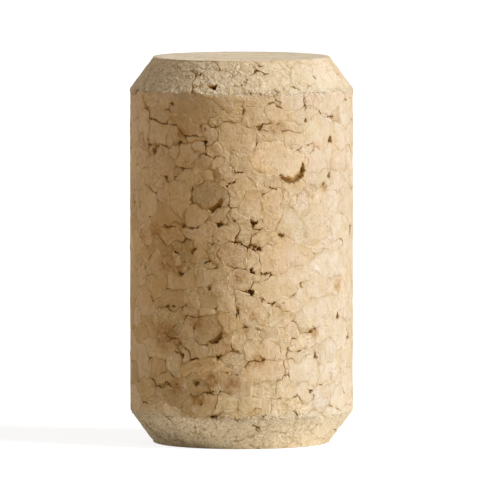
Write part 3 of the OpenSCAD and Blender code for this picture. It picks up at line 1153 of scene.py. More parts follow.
@dataclass
class Skin:
    """The stopper's skin: granules, seams and gaps worked into the net and pressed inwards.

    Lengths are in millimetres. A share lies between 0 and 1.
    """

    form: StopperForm
    pack: GranulePack
    beds: list[Bed]
    step: float = 0.46
    # How far round the gaps and the chamfers the net is made finer
    finer_reach: float = 0.1
    # Seams: half width, depth, and how open one has to be for its lips to be cut
    seam_half_w: float = 0.09
    seam_depth: float = 0.16
    least_open: float = 0.42
    # Least share of an edge left beside a seam that cuts it
    least_cut: float = 0.15
    # Least and greatest distance from a seam that the skin keeps
    nearest_seam: float = 0.05
    furthest_seam: float = 3.0
    # What opens seams and what shuts them
    open_everywhere: float = 0.10
    open_by_chance: float = 0.9
    open_at_gaps: float = 0.22
    open_at_dark: float = 0.3
    shut_at_tight: float = 0.6
    shut_on_ground: float = 0.3
    # Junctions, where three granules meet
    junction_reach: float = 0.30
    junction_depth: float = 0.22
    # Gaps: where walls meet floor, how ragged outlines are, and how far they are drawn in
    wall_share: float = 0.30
    jag: float = 0.18
    tightness: float = 0.12
    slit_tightness: float = 0.22
    crescent_tightness: float = -0.35
    pinch: float = 0.45
    floor_slope: float = 0.20
    # Depths to which granules, their edges and the ground chamfers are pressed in
    granule_drop: float = 0.05
    swell_depth: float = 0.03
    ridge: float = 0.045
    ridge_w: float = 0.22
    ground_depth: float = 0.08
    chip_depth: float = 0.22
    chip_reach: float = 0.3
    # How far crumbs reach from where the chamfers meet the side, and how softly the
    # ends and chamfers begin
    crumb_reach: float = 0.5
    edge_w: float = 0.12
    # The angle in degrees that shows as an edge
    sharp_angle: float = 38.0
    # How far apart in the noise granules take their grain from
    grain_spread: float = 400.0
    # The flat layout of the skin: its margin and the gap beside the end discs
    margin: float = 2.0
    disc_gap: float = 1.0
    net: Net = field(init=False)

    def build(self) -> bpy.types.Object:
        """Work the whole skin.

        Returns:
            The skin as a Blender object, in metres.
        """
        self.net = Net(self.form, self.step)
        self._refine()
        self._cut_seams()
        self._cut_gaps()
        self._cut_lips()
        return self._solid()

    def _from_end(self) -> Array:
        """Distance from each place to the nearer end face."""
        return self.form.from_end(self.net.places[:, 2])

    def _refine(self) -> None:
        """Make the net finer at the gaps and on the rough chamfers."""
        places = self.net.places
        wanted = np.zeros(len(places), dtype=bool)
        for bed in self.beds:
            reach = bed.gap.reach + self.finer_reach
            wanted |= ((places - bed.middle) ** 2).sum(axis=1) < reach**2
        from_end = self._from_end()
        wanted |= (from_end > self.finer_reach) & (from_end < self.form.chamfer_l + self.finer_reach)
        self.net.refine(wanted)

    def _cut_seams(self) -> None:
        """Cut the net along every seam and note which granule each triangle is part of."""
        net = self.net
        field_places = self.pack.settled(net.places)
        near, found = self.pack.nearest(field_places)
        owners = near[:, 0]
        away = self.pack.seam_distance(field_places, near, found)
        rise = np.maximum(found[:, 1] - found[:, 0], LEAST) / np.maximum(away, LEAST)
        to_junction = (found[:, 2] - found[:, 0]) / rise
        net.marks["seam"] = np.clip(away, self.nearest_seam, self.furthest_seam)
        net.marks["junction"] = np.clip(to_junction, 0, self.furthest_seam)
        pairs, _ = net.edges()
        first, second = owners[pairs[:, 0]], owners[pairs[:, 1]]
        chosen = first != second
        start, end = field_places[pairs[:, 0]], field_places[pairs[:, 1]]
        lead = self.pack.own_distance(start, second) - self.pack.own_distance(start, first)
        lag = self.pack.own_distance(end, first) - self.pack.own_distance(end, second)
        share = np.clip(lead / np.maximum(lead + lag, TINY), self.least_cut, 1 - self.least_cut)
        before = len(net.places)
        net.split(chosen, share, centred=True)
        fresh = np.arange(len(net.places)) >= before
        middle = np.arange(len(net.places)) >= before + int(chosen.sum())
        net.marks["seam"][fresh] = 0
        net.marks["junction"][middle] = 0
        owners = np.concatenate([owners, np.full(int(fresh.sum()), -1)])
        net.granules = owners[net.faces].max(axis=1)

    def _hollows(self) -> tuple[Array, Array, Array, Array]:
        """Tell how gaps lie round each place.

        Returns:
            How far inside a gap each place is, the depth of that gap, what share of its painted
            shade the gap shows there, and how far outside every gap the place is, in millimetres.
        """
        places = self.net.places
        share = np.full(len(places), -FAR)
        depth = np.zeros(len(places))
        gloom = np.ones(len(places))
        outside = np.full(len(places), FAR)
        ragged = np.stack([rumple(places, 0.45, Lot.JAG + i) for i in range(3)], axis=1)
        ragged += 0.5 * np.stack([rumple(places, 0.2, Lot.FINE_JAG + i) for i in range(3)], axis=1)
        ragged *= self.jag
        pinch = self.tightness + self.pinch * blend(0.0, 0.5, rumple(places, 0.7, Lot.PINCH))
        for bed in self.beds:
            apart = places - bed.middle
            near = np.flatnonzero((apart**2).sum(axis=1) < (bed.gap.reach * 1.8 + 0.2) ** 2)
            moved = apart[near] + ragged[near]
            across, along = moved @ bed.right, moved @ bed.up
            tight = {
                Pit: pinch[near], Slit: pinch[near] + self.slit_tightness,
                Crescent: self.crescent_tightness,
            }[type(bed.gap)]
            found = (bed.gap.share(across, along) - tight) / (1 - tight)
            outside[near] = np.minimum(outside[near], -found * bed.gap.breadth)
            better = found > share[near]
            share[near[better]] = found[better]
            depth[near[better]] = bed.gap.depth
            gloom[near[better]] = bed.gap.gloom(across, along)[better]
        return share, depth, gloom, outside

    def _cut_gaps(self) -> None:
        """Cut the net along the outline of every gap, and where its walls meet its floor."""
        net = self.net
        net.cut(self._hollows()[0])
        on_floor = net.cut(self._hollows()[0] - self.wall_share)
        share, depth, gloom, outside = self._hollows()
        net.marks["hollow"] = np.where(on_floor, self.wall_share, share)
        net.marks["depth"] = depth
        net.marks["gloom"] = gloom
        net.marks["outside"] = outside

    def _near(self, middles: Array, reaches: Array) -> Array:
        """Tell how near each place is to any of some middles.

        Args:
            middles: The middles, one in each row.
            reaches: How far the nearness to each middle reaches.

        Returns:
            1 at a middle, falling to 0 away from them all.
        """
        nearness = np.zeros(len(self.net.places))
        for middle, reach in zip(middles, reaches):
            away = ((self.net.places - middle) ** 2).sum(axis=1)
            nearness = np.maximum(nearness, np.exp(-away / reach**2))
        return nearness

    def _near_spots(self, spots: tuple[tuple[float, float, float], ...]) -> Array:
        """Tell how near each place is to spots given by turn, height and reach."""
        turns, heights, reaches = np.array(spots, dtype=float).T
        return self._near(self.form.place(turns, heights)[0], reaches)

    def _near_gaps(self) -> Array:
        """Tell how near each place is to a gap, where seams stand open."""
        reaches = np.array([0.5 + 0.55 * bed.gap.reach for bed in self.beds])
        return self._near(np.array([bed.middle for bed in self.beds]), reaches)

    def _seam_widths(self) -> Array:
        """Tell how wide the seam stands open on either side of its line.

        Returns:
            Half the width at each place, 0 in a gap.
        """
        net = self.net
        coarse = rumple(net.places, 2.6, Lot.COARSE_OPENING)
        fine = rumple(net.places, 0.9, Lot.FINE_OPENING)
        openness = self.open_everywhere + coarse + self.open_by_chance * fine
        openness = openness + self.open_at_gaps * self._near_gaps()
        opened = self.open_at_dark * self._near_spots(DARK_SPOTS)
        openness += opened - self.shut_at_tight * self._near_spots(TIGHT_LIT_SPOTS)
        openness = np.clip(openness, 0, 1) * (1 - self.shut_on_ground * self._ground_share())
        flare = np.exp(-((net.marks["junction"] / self.junction_reach) ** 2))
        net.marks["open"] = np.clip(openness * (0.75 + 0.5 * flare) + 0.25 * flare, 0, 1)
        width = self.seam_half_w * (0.35 + 0.65 * openness + 0.6 * flare * (0.4 + openness))
        smooth = self._end_share()
        return np.where(net.marks["hollow"] > -0.15, 0, width * (1 - 0.35 * smooth))

    def _cut_lips(self) -> None:
        """Cut the net along both lips of every seam that stands open."""
        net = self.net
        width = self._seam_widths()
        wide = (width > 0) & (net.marks["open"] > self.least_open)
        net.marks["width"] = np.where(wide, width, 0)
        on_lip = net.cut(np.where(wide, net.marks["seam"] - width, 1))
        net.marks["seam"][on_lip] = np.maximum(net.marks["seam"][on_lip], 0.02)
        net.marks["width"][on_lip] = net.marks["seam"][on_lip]

    def _end_share(self) -> Array:
        """Tell which places are on the flat end faces, from 0 to 1."""
        return 1 - blend(0.0, self.edge_w, self._from_end())

    def _ground_share(self) -> Array:
        """Tell which places are on the chamfers.

        Returns:
            1 on them, and 0 off them.
        """
        edge = self.edge_w * rumple(self.net.places, 0.8, Lot.GROUND_EDGE)
        beyond = blend(-self.edge_w, self.edge_w, self._from_end() + edge - self.form.chamfer_l)
        return (1 - beyond) * (1 - self._end_share())

    def _edge_share(self, reach: float) -> Array:
        """Tell how near each place is to where the chamfers meet the side wall."""
        return np.exp(-(((self._from_end() - self.form.chamfer_l) / reach) ** 2))

    def _drops(self) -> Array:
        """Work out how far the granules round each place lie below the highest.

        Returns:
            The mean drop of those granules, at each place.
        """
        drops = self.granule_drop * self.pack.lots**1.5
        total = np.zeros(len(self.net.places))
        count = np.zeros(len(self.net.places))
        for corner in self.net.faces.T:
            np.add.at(total, corner, drops[self.net.granules])
            np.add.at(count, corner, 1)
        return total / np.maximum(count, 1)

    def _pressed(self) -> Array:
        """Work out how far the skin is pressed in, and note how much painted shade its gaps get.

        Returns:
            The depth at each place, in millimetres.
        """
        places, marks = self.net.places, self.net.marks
        ground, side = self._ground_share(), 1 - self._end_share()
        swell = 0.5 + 0.5 * rumple(places, 1.9, Lot.SWELL)
        depth = side * (self._drops() + self.swell_depth * swell)
        off_lip = np.clip((marks["seam"] - marks["width"]) / self.ridge_w, 0, 1)
        raised = blend(0.0, 0.6, rumple(places, 1.4, Lot.RAISED))
        depth += side * self.ridge * (1 - raised * (1 - off_lip))
        across = marks["seam"] / np.maximum(marks["width"], LEAST)
        groove = np.where(marks["width"] > 0, 1 - across, 0)
        depth += self.seam_depth * marks["open"] * np.clip(groove, 0, 1)
        junction = np.exp(-((marks["junction"] / (0.6 * self.junction_reach)) ** 2))
        depth += self.junction_depth * junction * marks["open"] * np.clip(groove + 0.3, 0, 1) * side
        rough = 0.5 + rumple(places, 0.5, Lot.GROUND) + 0.5 * rumple(places, 0.25, Lot.FINE_GROUND)
        depth += self.ground_depth * ground * np.clip(rough, 0, 1)
        chips = blend(0.0, 0.35, rumple(places, 0.6, Lot.CHIPS))
        depth += self.chip_depth * self._edge_share(self.chip_reach) * chips
        walls = blend(0.0, self.wall_share, marks["hollow"])
        floor = np.clip(marks["hollow"], 0, 1)
        hollow = marks["depth"] * walls * (1 - self.floor_slope + self.floor_slope * floor)
        # How much painted shade each gap gets: its depth, scaled by the share of shade it shows
        marks["gap_shade"] = hollow * marks["gloom"]
        return depth + hollow

    def _outward(self) -> Array:
        """Find the way straight out of the plain form.

        Returns:
            The way at each place, of length one.
        """
        net = self.net
        out_r = np.interp(net.walks, net.rows[:, 4], net.rows[:, 2])
        out_z = np.interp(net.walks, net.rows[:, 4], net.rows[:, 3])
        flat = unit(net.places[:, :2]) * out_r[:, None]
        return unit(np.column_stack([flat, out_z]))

    def _solid(self) -> bpy.types.Object:
        """Press the net in and make it a Blender object.

        Returns:
            The object, with all that the finish reads kept on its mesh.
        """
        net = self.net
        pressed = self._pressed()
        places = net.places - self._outward() * pressed[:, None]
        mesh = bpy.data.meshes.new("cork_skin")
        mesh.from_pydata((places * MM).tolist(), [], net.faces.tolist())
        mesh.polygons.foreach_set("use_smooth", np.ones(len(net.faces), dtype=bool))
        mesh.update()
        mesh.set_sharp_from_angle(angle=math.radians(self.sharp_angle))
        self._note_places(mesh)
        self._note_granules(mesh)
        self._unwrap(mesh)
        return placed("cork_skin", mesh)

    def _note_places(self, mesh: bpy.types.Mesh) -> None:
        """Keep on each place what the finish reads there.

        Args:
            mesh: The skin's mesh.
        """
        noted = {name: self.net.marks[name] for name in ("seam", "open", "gap_shade", "outside")}
        noted |= {"ground": self._ground_share(), "end": self._end_share()}
        noted["edge"] = self._edge_share(self.crumb_reach)
        spots = {"stain": STAINS, "tight": TIGHT_LIT_SPOTS, "dark": DARK_SPOTS, "torn": TORN_SPOTS}
        noted |= {name: self._near_spots(those) for name, those in spots.items()}
        for name, values in noted.items():
            mesh.attributes.new(name, "FLOAT", "POINT").data.foreach_set("value", values)

    def _note_granules(self, mesh: bpy.types.Mesh) -> None:
        """Keep each granule's colour, grain and lean on the corners of its triangles.

        Args:
            mesh: The skin's mesh.
        """
        granule = np.repeat(self.net.granules, 3)
        corners = self.net.places[self.net.faces.ravel()]
        chance = np.random.default_rng(SEED + 2)
        count = len(self.pack.lots)
        turned = unit(chance.normal(size=(count, 3)))
        aside = unit(np.cross(turned, unit(chance.normal(size=(count, 3)))))
        frames = np.stack([turned, aside, np.cross(turned, aside)], axis=1)
        apart = corners - self.pack.middles[granule]
        grain = np.einsum("nkl,nl->nk", frames[granule], apart)
        grain += chance.uniform(-self.grain_spread, self.grain_spread, (count, 3))[granule]
        lean = chance.normal(size=(count, 3))[granule]
        tint = np.column_stack([self.pack.colours[granule], np.ones(len(granule))])
        for name, kind, slot, values in (
            ("tint", "FLOAT_COLOR", "color", tint),
            ("grained", "FLOAT", "value", self.pack.grained[granule]),
            ("grain", "FLOAT_VECTOR", "vector", grain),
            ("lean", "FLOAT_VECTOR", "vector", lean),
        ):
            mesh.attributes.new(name, kind, "CORNER").data.foreach_set(slot, values.ravel())

    def _unwrap(self, mesh: bpy.types.Mesh) -> None:
        """Lay the side out as one strip, with the two end faces as discs above it.

        Args:
            mesh: The skin's mesh.
        """
        net, margin = self.net, self.margin
        round_length = math.pi * self.form.diameter
        sheet = round_length + 2 * margin
        end_walk = float(net.rows[np.argmax(net.rows[:, 1] > LEAST), 4])
        corners = net.places[net.faces]
        walks = net.walks[net.faces]
        middle = corners.mean(axis=1)
        middle_turn = np.arctan2(middle[:, 0], -middle[:, 1])[:, None]
        turns = np.arctan2(corners[..., 0], -corners[..., 1])
        turns = middle_turn + (turns - middle_turn + math.pi) % (2 * math.pi) - math.pi
        across = margin + round_length * (0.5 + turns / (2 * math.pi))
        strip = np.stack([across, margin + walks - end_walk], axis=-1)
        disc_row = net.total_walk - 2 * end_walk + 2 * margin + self.form.end_r + self.disc_gap
        mean_walk = walks.mean(axis=1)[:, None, None]
        low = np.array([margin + self.form.end_r + self.disc_gap, disc_row])
        high = low + np.array([2 * self.form.end_r + 2 * margin, 0.0])
        flipped = corners[..., :2] * np.array([1.0, -1.0])
        laid = np.where(mean_walk < end_walk, flipped + low, strip)
        laid = np.where(mean_walk > net.total_walk - end_walk, corners[..., :2] + high, laid)
        layer = mesh.uv_layers.new(name="OFBake")
        layer.data.foreach_set("uv", (laid / sheet).reshape(-1).astype(np.float32))


@dataclass(frozen=True)
class Patches:
    """Patches made by smooth noise, eased from start to end where it goes from low to high.

    The scale is the number of swellings to the millimetre.
    """

    scale: float
    low: float
    high: float
    start: float = 0.0
    end: float = 1.0
    detail: float = 2.0
    rough: float = 0.5


class Desk:
    """Lays out the nodes of one material, or of the surroundings."""

    def __init__(self, owner: bpy.types.Material | bpy.types.World, output: str) -> None:
        """Clear the owner's nodes and set out its output.

        Args:
            owner: The material or world that the nodes belong to.
            output: Blender's name for its kind of output.
        """
        owner.use_nodes = True
        self.tree = owner.node_tree
        self.tree.nodes.clear()
        self.output = self.tree.nodes.new(output)

    def node(self, kind: str, inputs: dict[str | int, object], **settings: object) -> bpy.types.Node:
        """Add a node.

        Args:
            kind: Blender's name for the kind of node.
            inputs: What each input takes, a value or another node's output.
            settings: The node's other settings.

        Returns:
            The new node.
        """
        made = self.tree.nodes.new(kind)
        for name, value in settings.items():
            setattr(made, name, value)
        for name, value in inputs.items():
            if isinstance(value, Socket):
                self.tree.links.new(value, made.inputs[name])
            else:
                made.inputs[name].default_value = value
        return made

    def finish(self, shader: bpy.types.Node) -> None:
        """Join the last shader to the output."""
        self.tree.links.new(shader.outputs[0], self.output.inputs[0])

    def shown(self, thrown: bpy.types.Node, seen: bpy.types.Node) -> bpy.types.Node:
        """Use one shader for light, and another for the eye and for reflections.

        Args:
            thrown: The shader for the light that is thrown on things.
            seen: The shader for the eye and for reflections.

        Returns:
            The two, mixed.
        """
        path = self.node("ShaderNodeLightPath", {}).outputs
        either = self.sum("MAXIMUM", path["Is Camera Ray"], path["Is Glossy Ray"])
        inputs = {0: either, 1: thrown.outputs[0], 2: seen.outputs[0]}
        return self.node("ShaderNodeMixShader", inputs)

    def mark(self, name: str, out: str = "Fac") -> Socket:
        """Read what the skin keeps under a name."""
        return self.node("ShaderNodeAttribute", {}, attribute_name=name).outputs[out]

    def sum(self, operation: str, *values: object) -> Socket:
        """Work out one number from others."""
        return self.node("ShaderNodeMath", dict(enumerate(values)), operation=operation).outputs[0]

    def times(self, *values: object) -> Socket:
        """Multiply numbers."""
        return reduce(lambda one, other: self.sum("MULTIPLY", one, other), values)

    def total(self, *values: object) -> Socket:
        """Add numbers."""
        return reduce(lambda one, other: self.sum("ADD", one, other), values)

    def arrow(self, operation: str, *values: object) -> Socket:
        """Work out one vector from others."""
        inputs = dict(enumerate(values))
        return self.node("ShaderNodeVectorMath", inputs, operation=operation).outputs[0]

    def bent(self, vector: Socket, scale: float, detail: float, reach: float) -> Socket:
        """Shift a vector by smooth noise, by up to a reach in millimetres."""
        shift = self.node("ShaderNodeTexNoise", {"Vector": vector, "Scale": scale, "Detail": detail})
        return self.arrow("MULTIPLY_ADD", shift.outputs["Color"], (reach, reach, reach), vector)

    def cloud(self, vector: Socket, scale: float, detail: float = 2.0, rough: float = 0.5) -> Socket:
        """Add smooth noise from 0 to 1, with a number of swellings to the millimetre."""
        inputs = {"Vector": vector, "Scale": scale, "Detail": detail, "Roughness": rough}
        return self.node("ShaderNodeTexNoise", inputs).outputs[0]

    def ease(
        self, value: Socket, low: float, high: object, start: object = 0.0, end: object = 1.0
    ) -> Socket:
        """Go smoothly from start to end as a value rises, or falls, from low to high."""
        inputs = {"Value": value, 1: low, 2: high, 3: start, 4: end}
        return self.node(
            "ShaderNodeMapRange", inputs, interpolation_type="SMOOTHSTEP", clamp=True
        ).outputs[0]

    def patches(self, vector: Socket, look: Patches) -> Socket:
        """Turn smooth noise into patches."""
        noise_there = self.cloud(vector, look.scale, look.detail, look.rough)
        return self.ease(noise_there, look.low, look.high, look.start, look.end)

    def near(self, spots: str, start: float = 0.0, end: float = 1.0, full: float = 0.8) -> Socket:
        """Go from start, away from some spots, to end, where the skin's mark of them is full."""
        return self.ease(self.mark(spots), SPOT_EDGE, full, start, end)

    def mix(self, share: object, first: object, second: object, way: str = "MIX") -> Socket:
        """Mix two colours, by the share of the second and in one of Blender's ways of mixing."""
        inputs = {0: share, 6: first, 7: second}
        return self.node("ShaderNodeMix", inputs, data_type="RGBA", blend_type=way).outputs[2]


@dataclass(frozen=True)
class CorkFinish:
    """Raw pressed cork: mottled granules, brown seams, gaps darkened with painted shade, and ground
    chamfers.
    """

    # Colours laid over the cork
    crease: Colour = (0.37, 0.205, 0.045, 1)
    # Gap walls: partly the cork's own brown, partly painted shade
    brown: Colour = (0.45, 0.26, 0.060, 1)
    # Painted shade on the floors of the deeper gaps
    gap_floor_shade: Colour = (0.17, 0.075, 0.010, 1)
    # Paler brown that breaks the painted shade of the gaps in patches
    gap_pale_brown: Colour = (0.57, 0.37, 0.13, 1)
    smudge: Colour = (0.57, 0.35, 0.105, 1)
    stain: Colour = (0.47, 0.24, 0.090, 1)
    speck: Colour = (0.36, 0.20, 0.095, 1)
    # Painted highlight along raised seams
    lip_highlight: Colour = (0.97, 0.84, 0.60, 1)
    # Pale dusting of the chamfers, partly painted light on the bottom one
    dust_and_painted_light: Colour = (0.96, 0.82, 0.60, 1)
    pore: Colour = (0.44, 0.30, 0.165, 1)
    crumb: Colour = (0.97, 0.86, 0.66, 1)
    sanded: Colour = (0.92, 0.80, 0.62, 1)
    # Painted light: pale wash of the lit right side
    painted_lit_wash: Colour = (0.875, 0.728, 0.505, 1)
    # Casts multiplied into it
    soaked: Colour = (0.75, 0.63, 0.46, 1)
    rosy: Colour = (1.01, 0.975, 0.955, 1)
    olive: Colour = (0.975, 0.98, 0.91, 1)
    # Painted shade: warm cast of the shaded lower left
    painted_shade_warmth: Colour = (0.975, 0.938, 0.870, 1)
    head: Colour = (1.015, 1.085, 1.29, 1)
    # Painted light: pale cast of the lit right side
    painted_lit_pale: Colour = (0.965, 1.024, 1.17, 1)
    streak_dark: Colour = (0.80, 0.77, 0.70, 1)
    streak_pale: Colour = (1.15, 1.15, 1.15, 1)
    grit_dark: Colour = (0.80, 0.77, 0.71, 1)
    grit_pale: Colour = (1.13, 1.15, 1.18, 1)
    cloud_dark: Colour = (0.93, 0.90, 0.825, 1)
    cloud_pale: Colour = (1.05, 1.08, 1.18, 1)
    fleck_dark: Colour = (0.96, 0.93, 0.865, 1)
    fleck_pale: Colour = (1.04, 1.07, 1.15, 1)
    # Patches on the granules
    clouds: Patches = Patches(0.55, 0.3, 0.7, detail=4, rough=0.65)
    warm_cast: Patches = Patches(0.38, 0.50, 0.66, detail=3, rough=0.6)
    green_cast: Patches = Patches(0.42, 0.47, 0.34, detail=3, rough=0.6)
    cut_lines: Patches = Patches(1.0, 0.3, 0.7, 0.965, 1.035, 3, 0.55)
    flecks: Patches = Patches(3.8, 0.3, 0.7, detail=3, rough=0.6)
    crack_stretches: Patches = Patches(0.85, 0.48, 0.60, detail=3, rough=0.6)
    pillows: Patches = Patches(0.55, 0.48, 0.64, 0.0, 0.05)
    # Patches of stain and dirt
    stained: Patches = Patches(0.33, 0.60, 0.72, 0.0, 0.9)
    stain_grain: Patches = Patches(2.2, 0.40, 0.66, detail=4, rough=0.7)
    stain_shadow: Patches = Patches(0.9, 0.3, 0.6, 0.3, 1.0, 3, 0.6)
    specks: Patches = Patches(3.4, 0.66, 0.76)
    speck_fields: Patches = Patches(0.55, 0.45, 0.62)
    smudges: Patches = Patches(0.7, 0.46, 0.62, 0.10, 0.62, 3, 0.6)
    gap_smudges: Patches = Patches(1.5, 0.38, 0.58, 0.35, 1.0)
    # Paler patches in the painted shade of the gaps
    gap_paling_patches: Patches = Patches(1.3, 0.50, 0.62, detail=3, rough=0.6)
    # Patches on the ground chamfers
    pored: Patches = Patches(0.30, 0.35, 0.60, 0.16, 0.40)
    pored_relief: Patches = Patches(0.30, 0.35, 0.60, -0.014, -0.030)
    pore_breaks: Patches = Patches(2.2, 0.44, 0.56, 0.3, 1.0)
    pebble_sizes: Patches = Patches(1.4, 0.3, 0.7, 0.7, 1.3)
    grit: Patches = Patches(2.8, 0.38, 0.62, detail=4, rough=0.7)
    crumbs: Patches = Patches(3.6, 0.46, 0.58, rough=0.6)
    crumb_rows: Patches = Patches(0.32, 0.32, 0.46)
    # Swellings to the millimetre of the noise that raises stretches of seam
    raised_scale: float = 0.8
    # Heights of the fine relief, in millimetres
    skin_height: float = 0.076
    line_height: float = 0.015
    grit_height: float = 0.026
    streak_height: float = 0.07
    crumb_height: float = 0.07
    crack_height: float = -0.03
    torn_height: float = -0.052
    sunk_seam: float = -0.03
    raised_seam: float = 0.042
    # How far each granule's face leans
    lean: float = 0.022
    roughness: float = 0.88
    gloss: float = 0.5


class CorkPaint:
    """Lays out the cork's material, one layer over the other."""

    def __init__(self, finish: CorkFinish) -> None:
        """Draw the patterns that more than one layer needs, and start from the granules' tints.

        Args:
            finish: The cork's colours, patches and heights.
        """
        self.finish = finish
        self.material = bpy.data.materials.new("bound_cork")
        self.desk = Desk(self.material, "ShaderNodeOutputMaterial")
        metres = self.desk.node("ShaderNodeTexCoord", {}).outputs["Object"]
        self.place = self.desk.arrow("MULTIPLY", metres, (1 / MM, 1 / MM, 1 / MM))
        self.parts = self.desk.node("ShaderNodeSeparateXYZ", {"Vector": self.place}).outputs
        self.grain = self.desk.mark("grain", "Vector")
        self.raised = self.desk.cloud(self.place, finish.raised_scale)
        self.streaks = self._streaks()
        self.cracks = self._cracks()
        self.pebbles = self._pebbles()
        self.crumbs = self._crumbs()
        self.colour = self.desk.mark("tint", "Color")

    def make(self) -> bpy.types.Material:
        """Lay the layers over each other.

        Returns:
            The finished material.
        """
        for layer in (
            self._granules, self._age, self._wear, self._chamfers, self._seams, self._gaps,
        ):
            layer()
        inputs = {
            "Base Color": self.colour, "Roughness": self.finish.roughness,
            "Specular IOR Level": self.finish.gloss, "Normal": self._relief(),
        }
        self.desk.finish(self.desk.node("ShaderNodeBsdfPrincipled", inputs))
        return self.material

    def _lay(self, share: object, colour: object) -> None:
        """Lay a share of a colour over what is there."""
        self.colour = self.desk.mix(share, self.colour, colour)

    def _tinge(self, share: object, cast: object) -> None:
        """Multiply a share of a cast into what is there."""
        self.colour = self.desk.mix(share, self.colour, cast, "MULTIPLY")

    def _patches(self, look: Patches) -> Socket:
        """Lay patches out over the whole stopper."""
        return self.desk.patches(self.place, look)

    def _streaks(self) -> Socket:
        """Draw each granule's own grain, plain in some granules and faint in most.

        Returns:
            Streaks about 0, stronger in the granules that show their grain.
        """
        desk = self.desk
        lines = desk.cloud(desk.arrow("MULTIPLY", self.grain, (0.5, 3.6, 3.6)), 1.0, 3, 0.55)
        return desk.times(desk.sum("SUBTRACT", lines, 0.5), desk.mark("grained"))

    def _cracks(self) -> Socket:
        """Draw fine broken cracks across the granules.

        Returns:
            1 along a crack, and 0 off it.
        """
        desk = self.desk
        inputs = {"Vector": desk.bent(self.grain, 1.1, 3.0, 1.3), "Scale": 0.62}
        cells = desk.node("ShaderNodeTexVoronoi", inputs, feature="DISTANCE_TO_EDGE")
        lines = desk.ease(cells.outputs["Distance"], 0.0, 0.055, 1.0, 0.0)
        return desk.times(lines, self._patches(self.finish.crack_stretches))

    def _pebbles(self) -> Socket:
        """Draw the pebbled surface that grinding leaves.

        Returns:
            0 in the middle of a pebble, and about 1 between pebbles.
        """
        inputs = {"Vector": self.desk.bent(self.place, 3.0, 2.0, 0.35), "Scale": 3.4}
        near = self.desk.node("ShaderNodeTexVoronoi", inputs).outputs["Distance"]
        return self.desk.times(near, self._patches(self.finish.pebble_sizes))

    def _crumbs(self) -> Socket:
        """Draw the pale crumbs that hang in rows where the chamfers meet the side wall."""
        single, rows = self._patches(self.finish.crumbs), self._patches(self.finish.crumb_rows)
        return self.desk.times(self.desk.mark("edge"), single, rows)

    def _granules(self) -> None:
        """Colour the granules: paled on the lit right as painted light, cloudy, and streaked along their
        own grain.
        """
        desk, look = self.desk, self.finish
        # Painted light: a pale wash over the tight spots on the lit right
        self._lay(desk.near("tight", 0.0, 0.45, full=0.9), look.painted_lit_wash)
        clouds = desk.patches(self.grain, look.clouds)
        self._tinge(1.0, desk.mix(clouds, look.cloud_dark, look.cloud_pale))
        self._tinge(self._patches(look.warm_cast), look.rosy)
        self._tinge(self._patches(look.green_cast), look.olive)
        drawn = desk.mix(desk.ease(self.streaks, -0.25, 0.20), look.streak_dark, look.streak_pale)
        self._tinge(desk.near("tight", 1.0, 0.3), drawn)
        upright = desk.arrow("MULTIPLY", self.place, (4.4, 4.4, 0.5))
        self._tinge(1.0, desk.patches(upright, look.cut_lines))

    def _age(self) -> None:
        """Paint light by side: a warm painted shade low on the shaded left, a paler, bluer cast high on
        the left off the chamfers, and painted light paling the lit right.
        """
        desk, across, height = self.desk, self.parts["X"], self.parts["Z"]
        # Painted shade: a warm cast low down, strongest on the shaded left
        left = desk.ease(across, 7.0, -5.0, 0.15, 1.0)
        self._tinge(desk.times(desk.ease(height, 22.0, 3.0), left), self.finish.painted_shade_warmth)
        left = desk.ease(across, 0.0, -11.0)
        unground = desk.ease(desk.mark("ground"), 0.0, 1.0, 1.0, 0.15)
        high = desk.ease(height, 22.0, 38.0)
        self._tinge(desk.times(high, left, unground), self.finish.head)
        # Painted light: a paler, bluer cast towards the lit right side
        self._tinge(desk.ease(across, 0.0, 11.0), self.finish.painted_lit_pale)

    def _wear(self) -> None:
        """Add stains, specks and fine dirt."""
        desk, look = self.desk, self.finish
        stained = desk.sum("MAXIMUM", self._patches(look.stained), desk.near("stain", full=0.7))
        self._lay(desk.times(stained, self._patches(look.stain_grain), 0.75), look.stain)
        shadow = desk.ease(desk.mark("stain"), 0.05, 0.8, 0.0, 0.85)
        self._tinge(desk.times(shadow, self._patches(look.stain_shadow)), look.soaked)
        specks = desk.times(self._patches(look.specks), self._patches(look.speck_fields))
        self._lay(specks, look.speck)
        flecks = desk.mix(self._patches(look.flecks), look.fleck_dark, look.fleck_pale)
        shown = desk.times(desk.near("tight", 1.0, 0.45), desk.ease(self.parts["X"], 5.0, -3.0, 0.6))
        self._tinge(shown, flecks)

    def _chamfers(self) -> None:
        """Lay a pale dusting on the ground chamfers, heaviest on the shaded bottom one as painted light,
        open their pores, and pale the sanded ends.
        """
        desk, look = self.desk, self.finish
        ground, height = desk.mark("ground"), self.parts["Z"]
        # Pale dusting on the chamfers, laid heavier on the shaded bottom chamfer as painted light
        self._lay(desk.times(ground, desk.ease(height, 2.0, 6.0, 0.85, 0.45)), look.dust_and_painted_light)
        coarse = desk.times(self._patches(look.pored), desk.near("tight", 1.0, 0.3))
        coarse = desk.sum("MAXIMUM", coarse, desk.near("torn", 0.0, 0.75))
        coarse = desk.times(coarse, self._patches(look.pore_breaks))
        self._lay(desk.times(ground, desk.ease(self.pebbles, 0.38, 0.78, 0.0, coarse)), look.pore)
        grit = desk.mix(self._patches(look.grit), look.grit_dark, look.grit_pale)
        gritty = desk.times(desk.near("tight", 1.0, 0.4), desk.ease(height, 8.0, 4.0, 0.5, 1.0))
        self._tinge(desk.times(ground, gritty), grit)
        self._lay(desk.times(self.crumbs, 0.9), look.crumb)
        self._lay(desk.times(desk.mark("end"), 0.5), look.sanded)

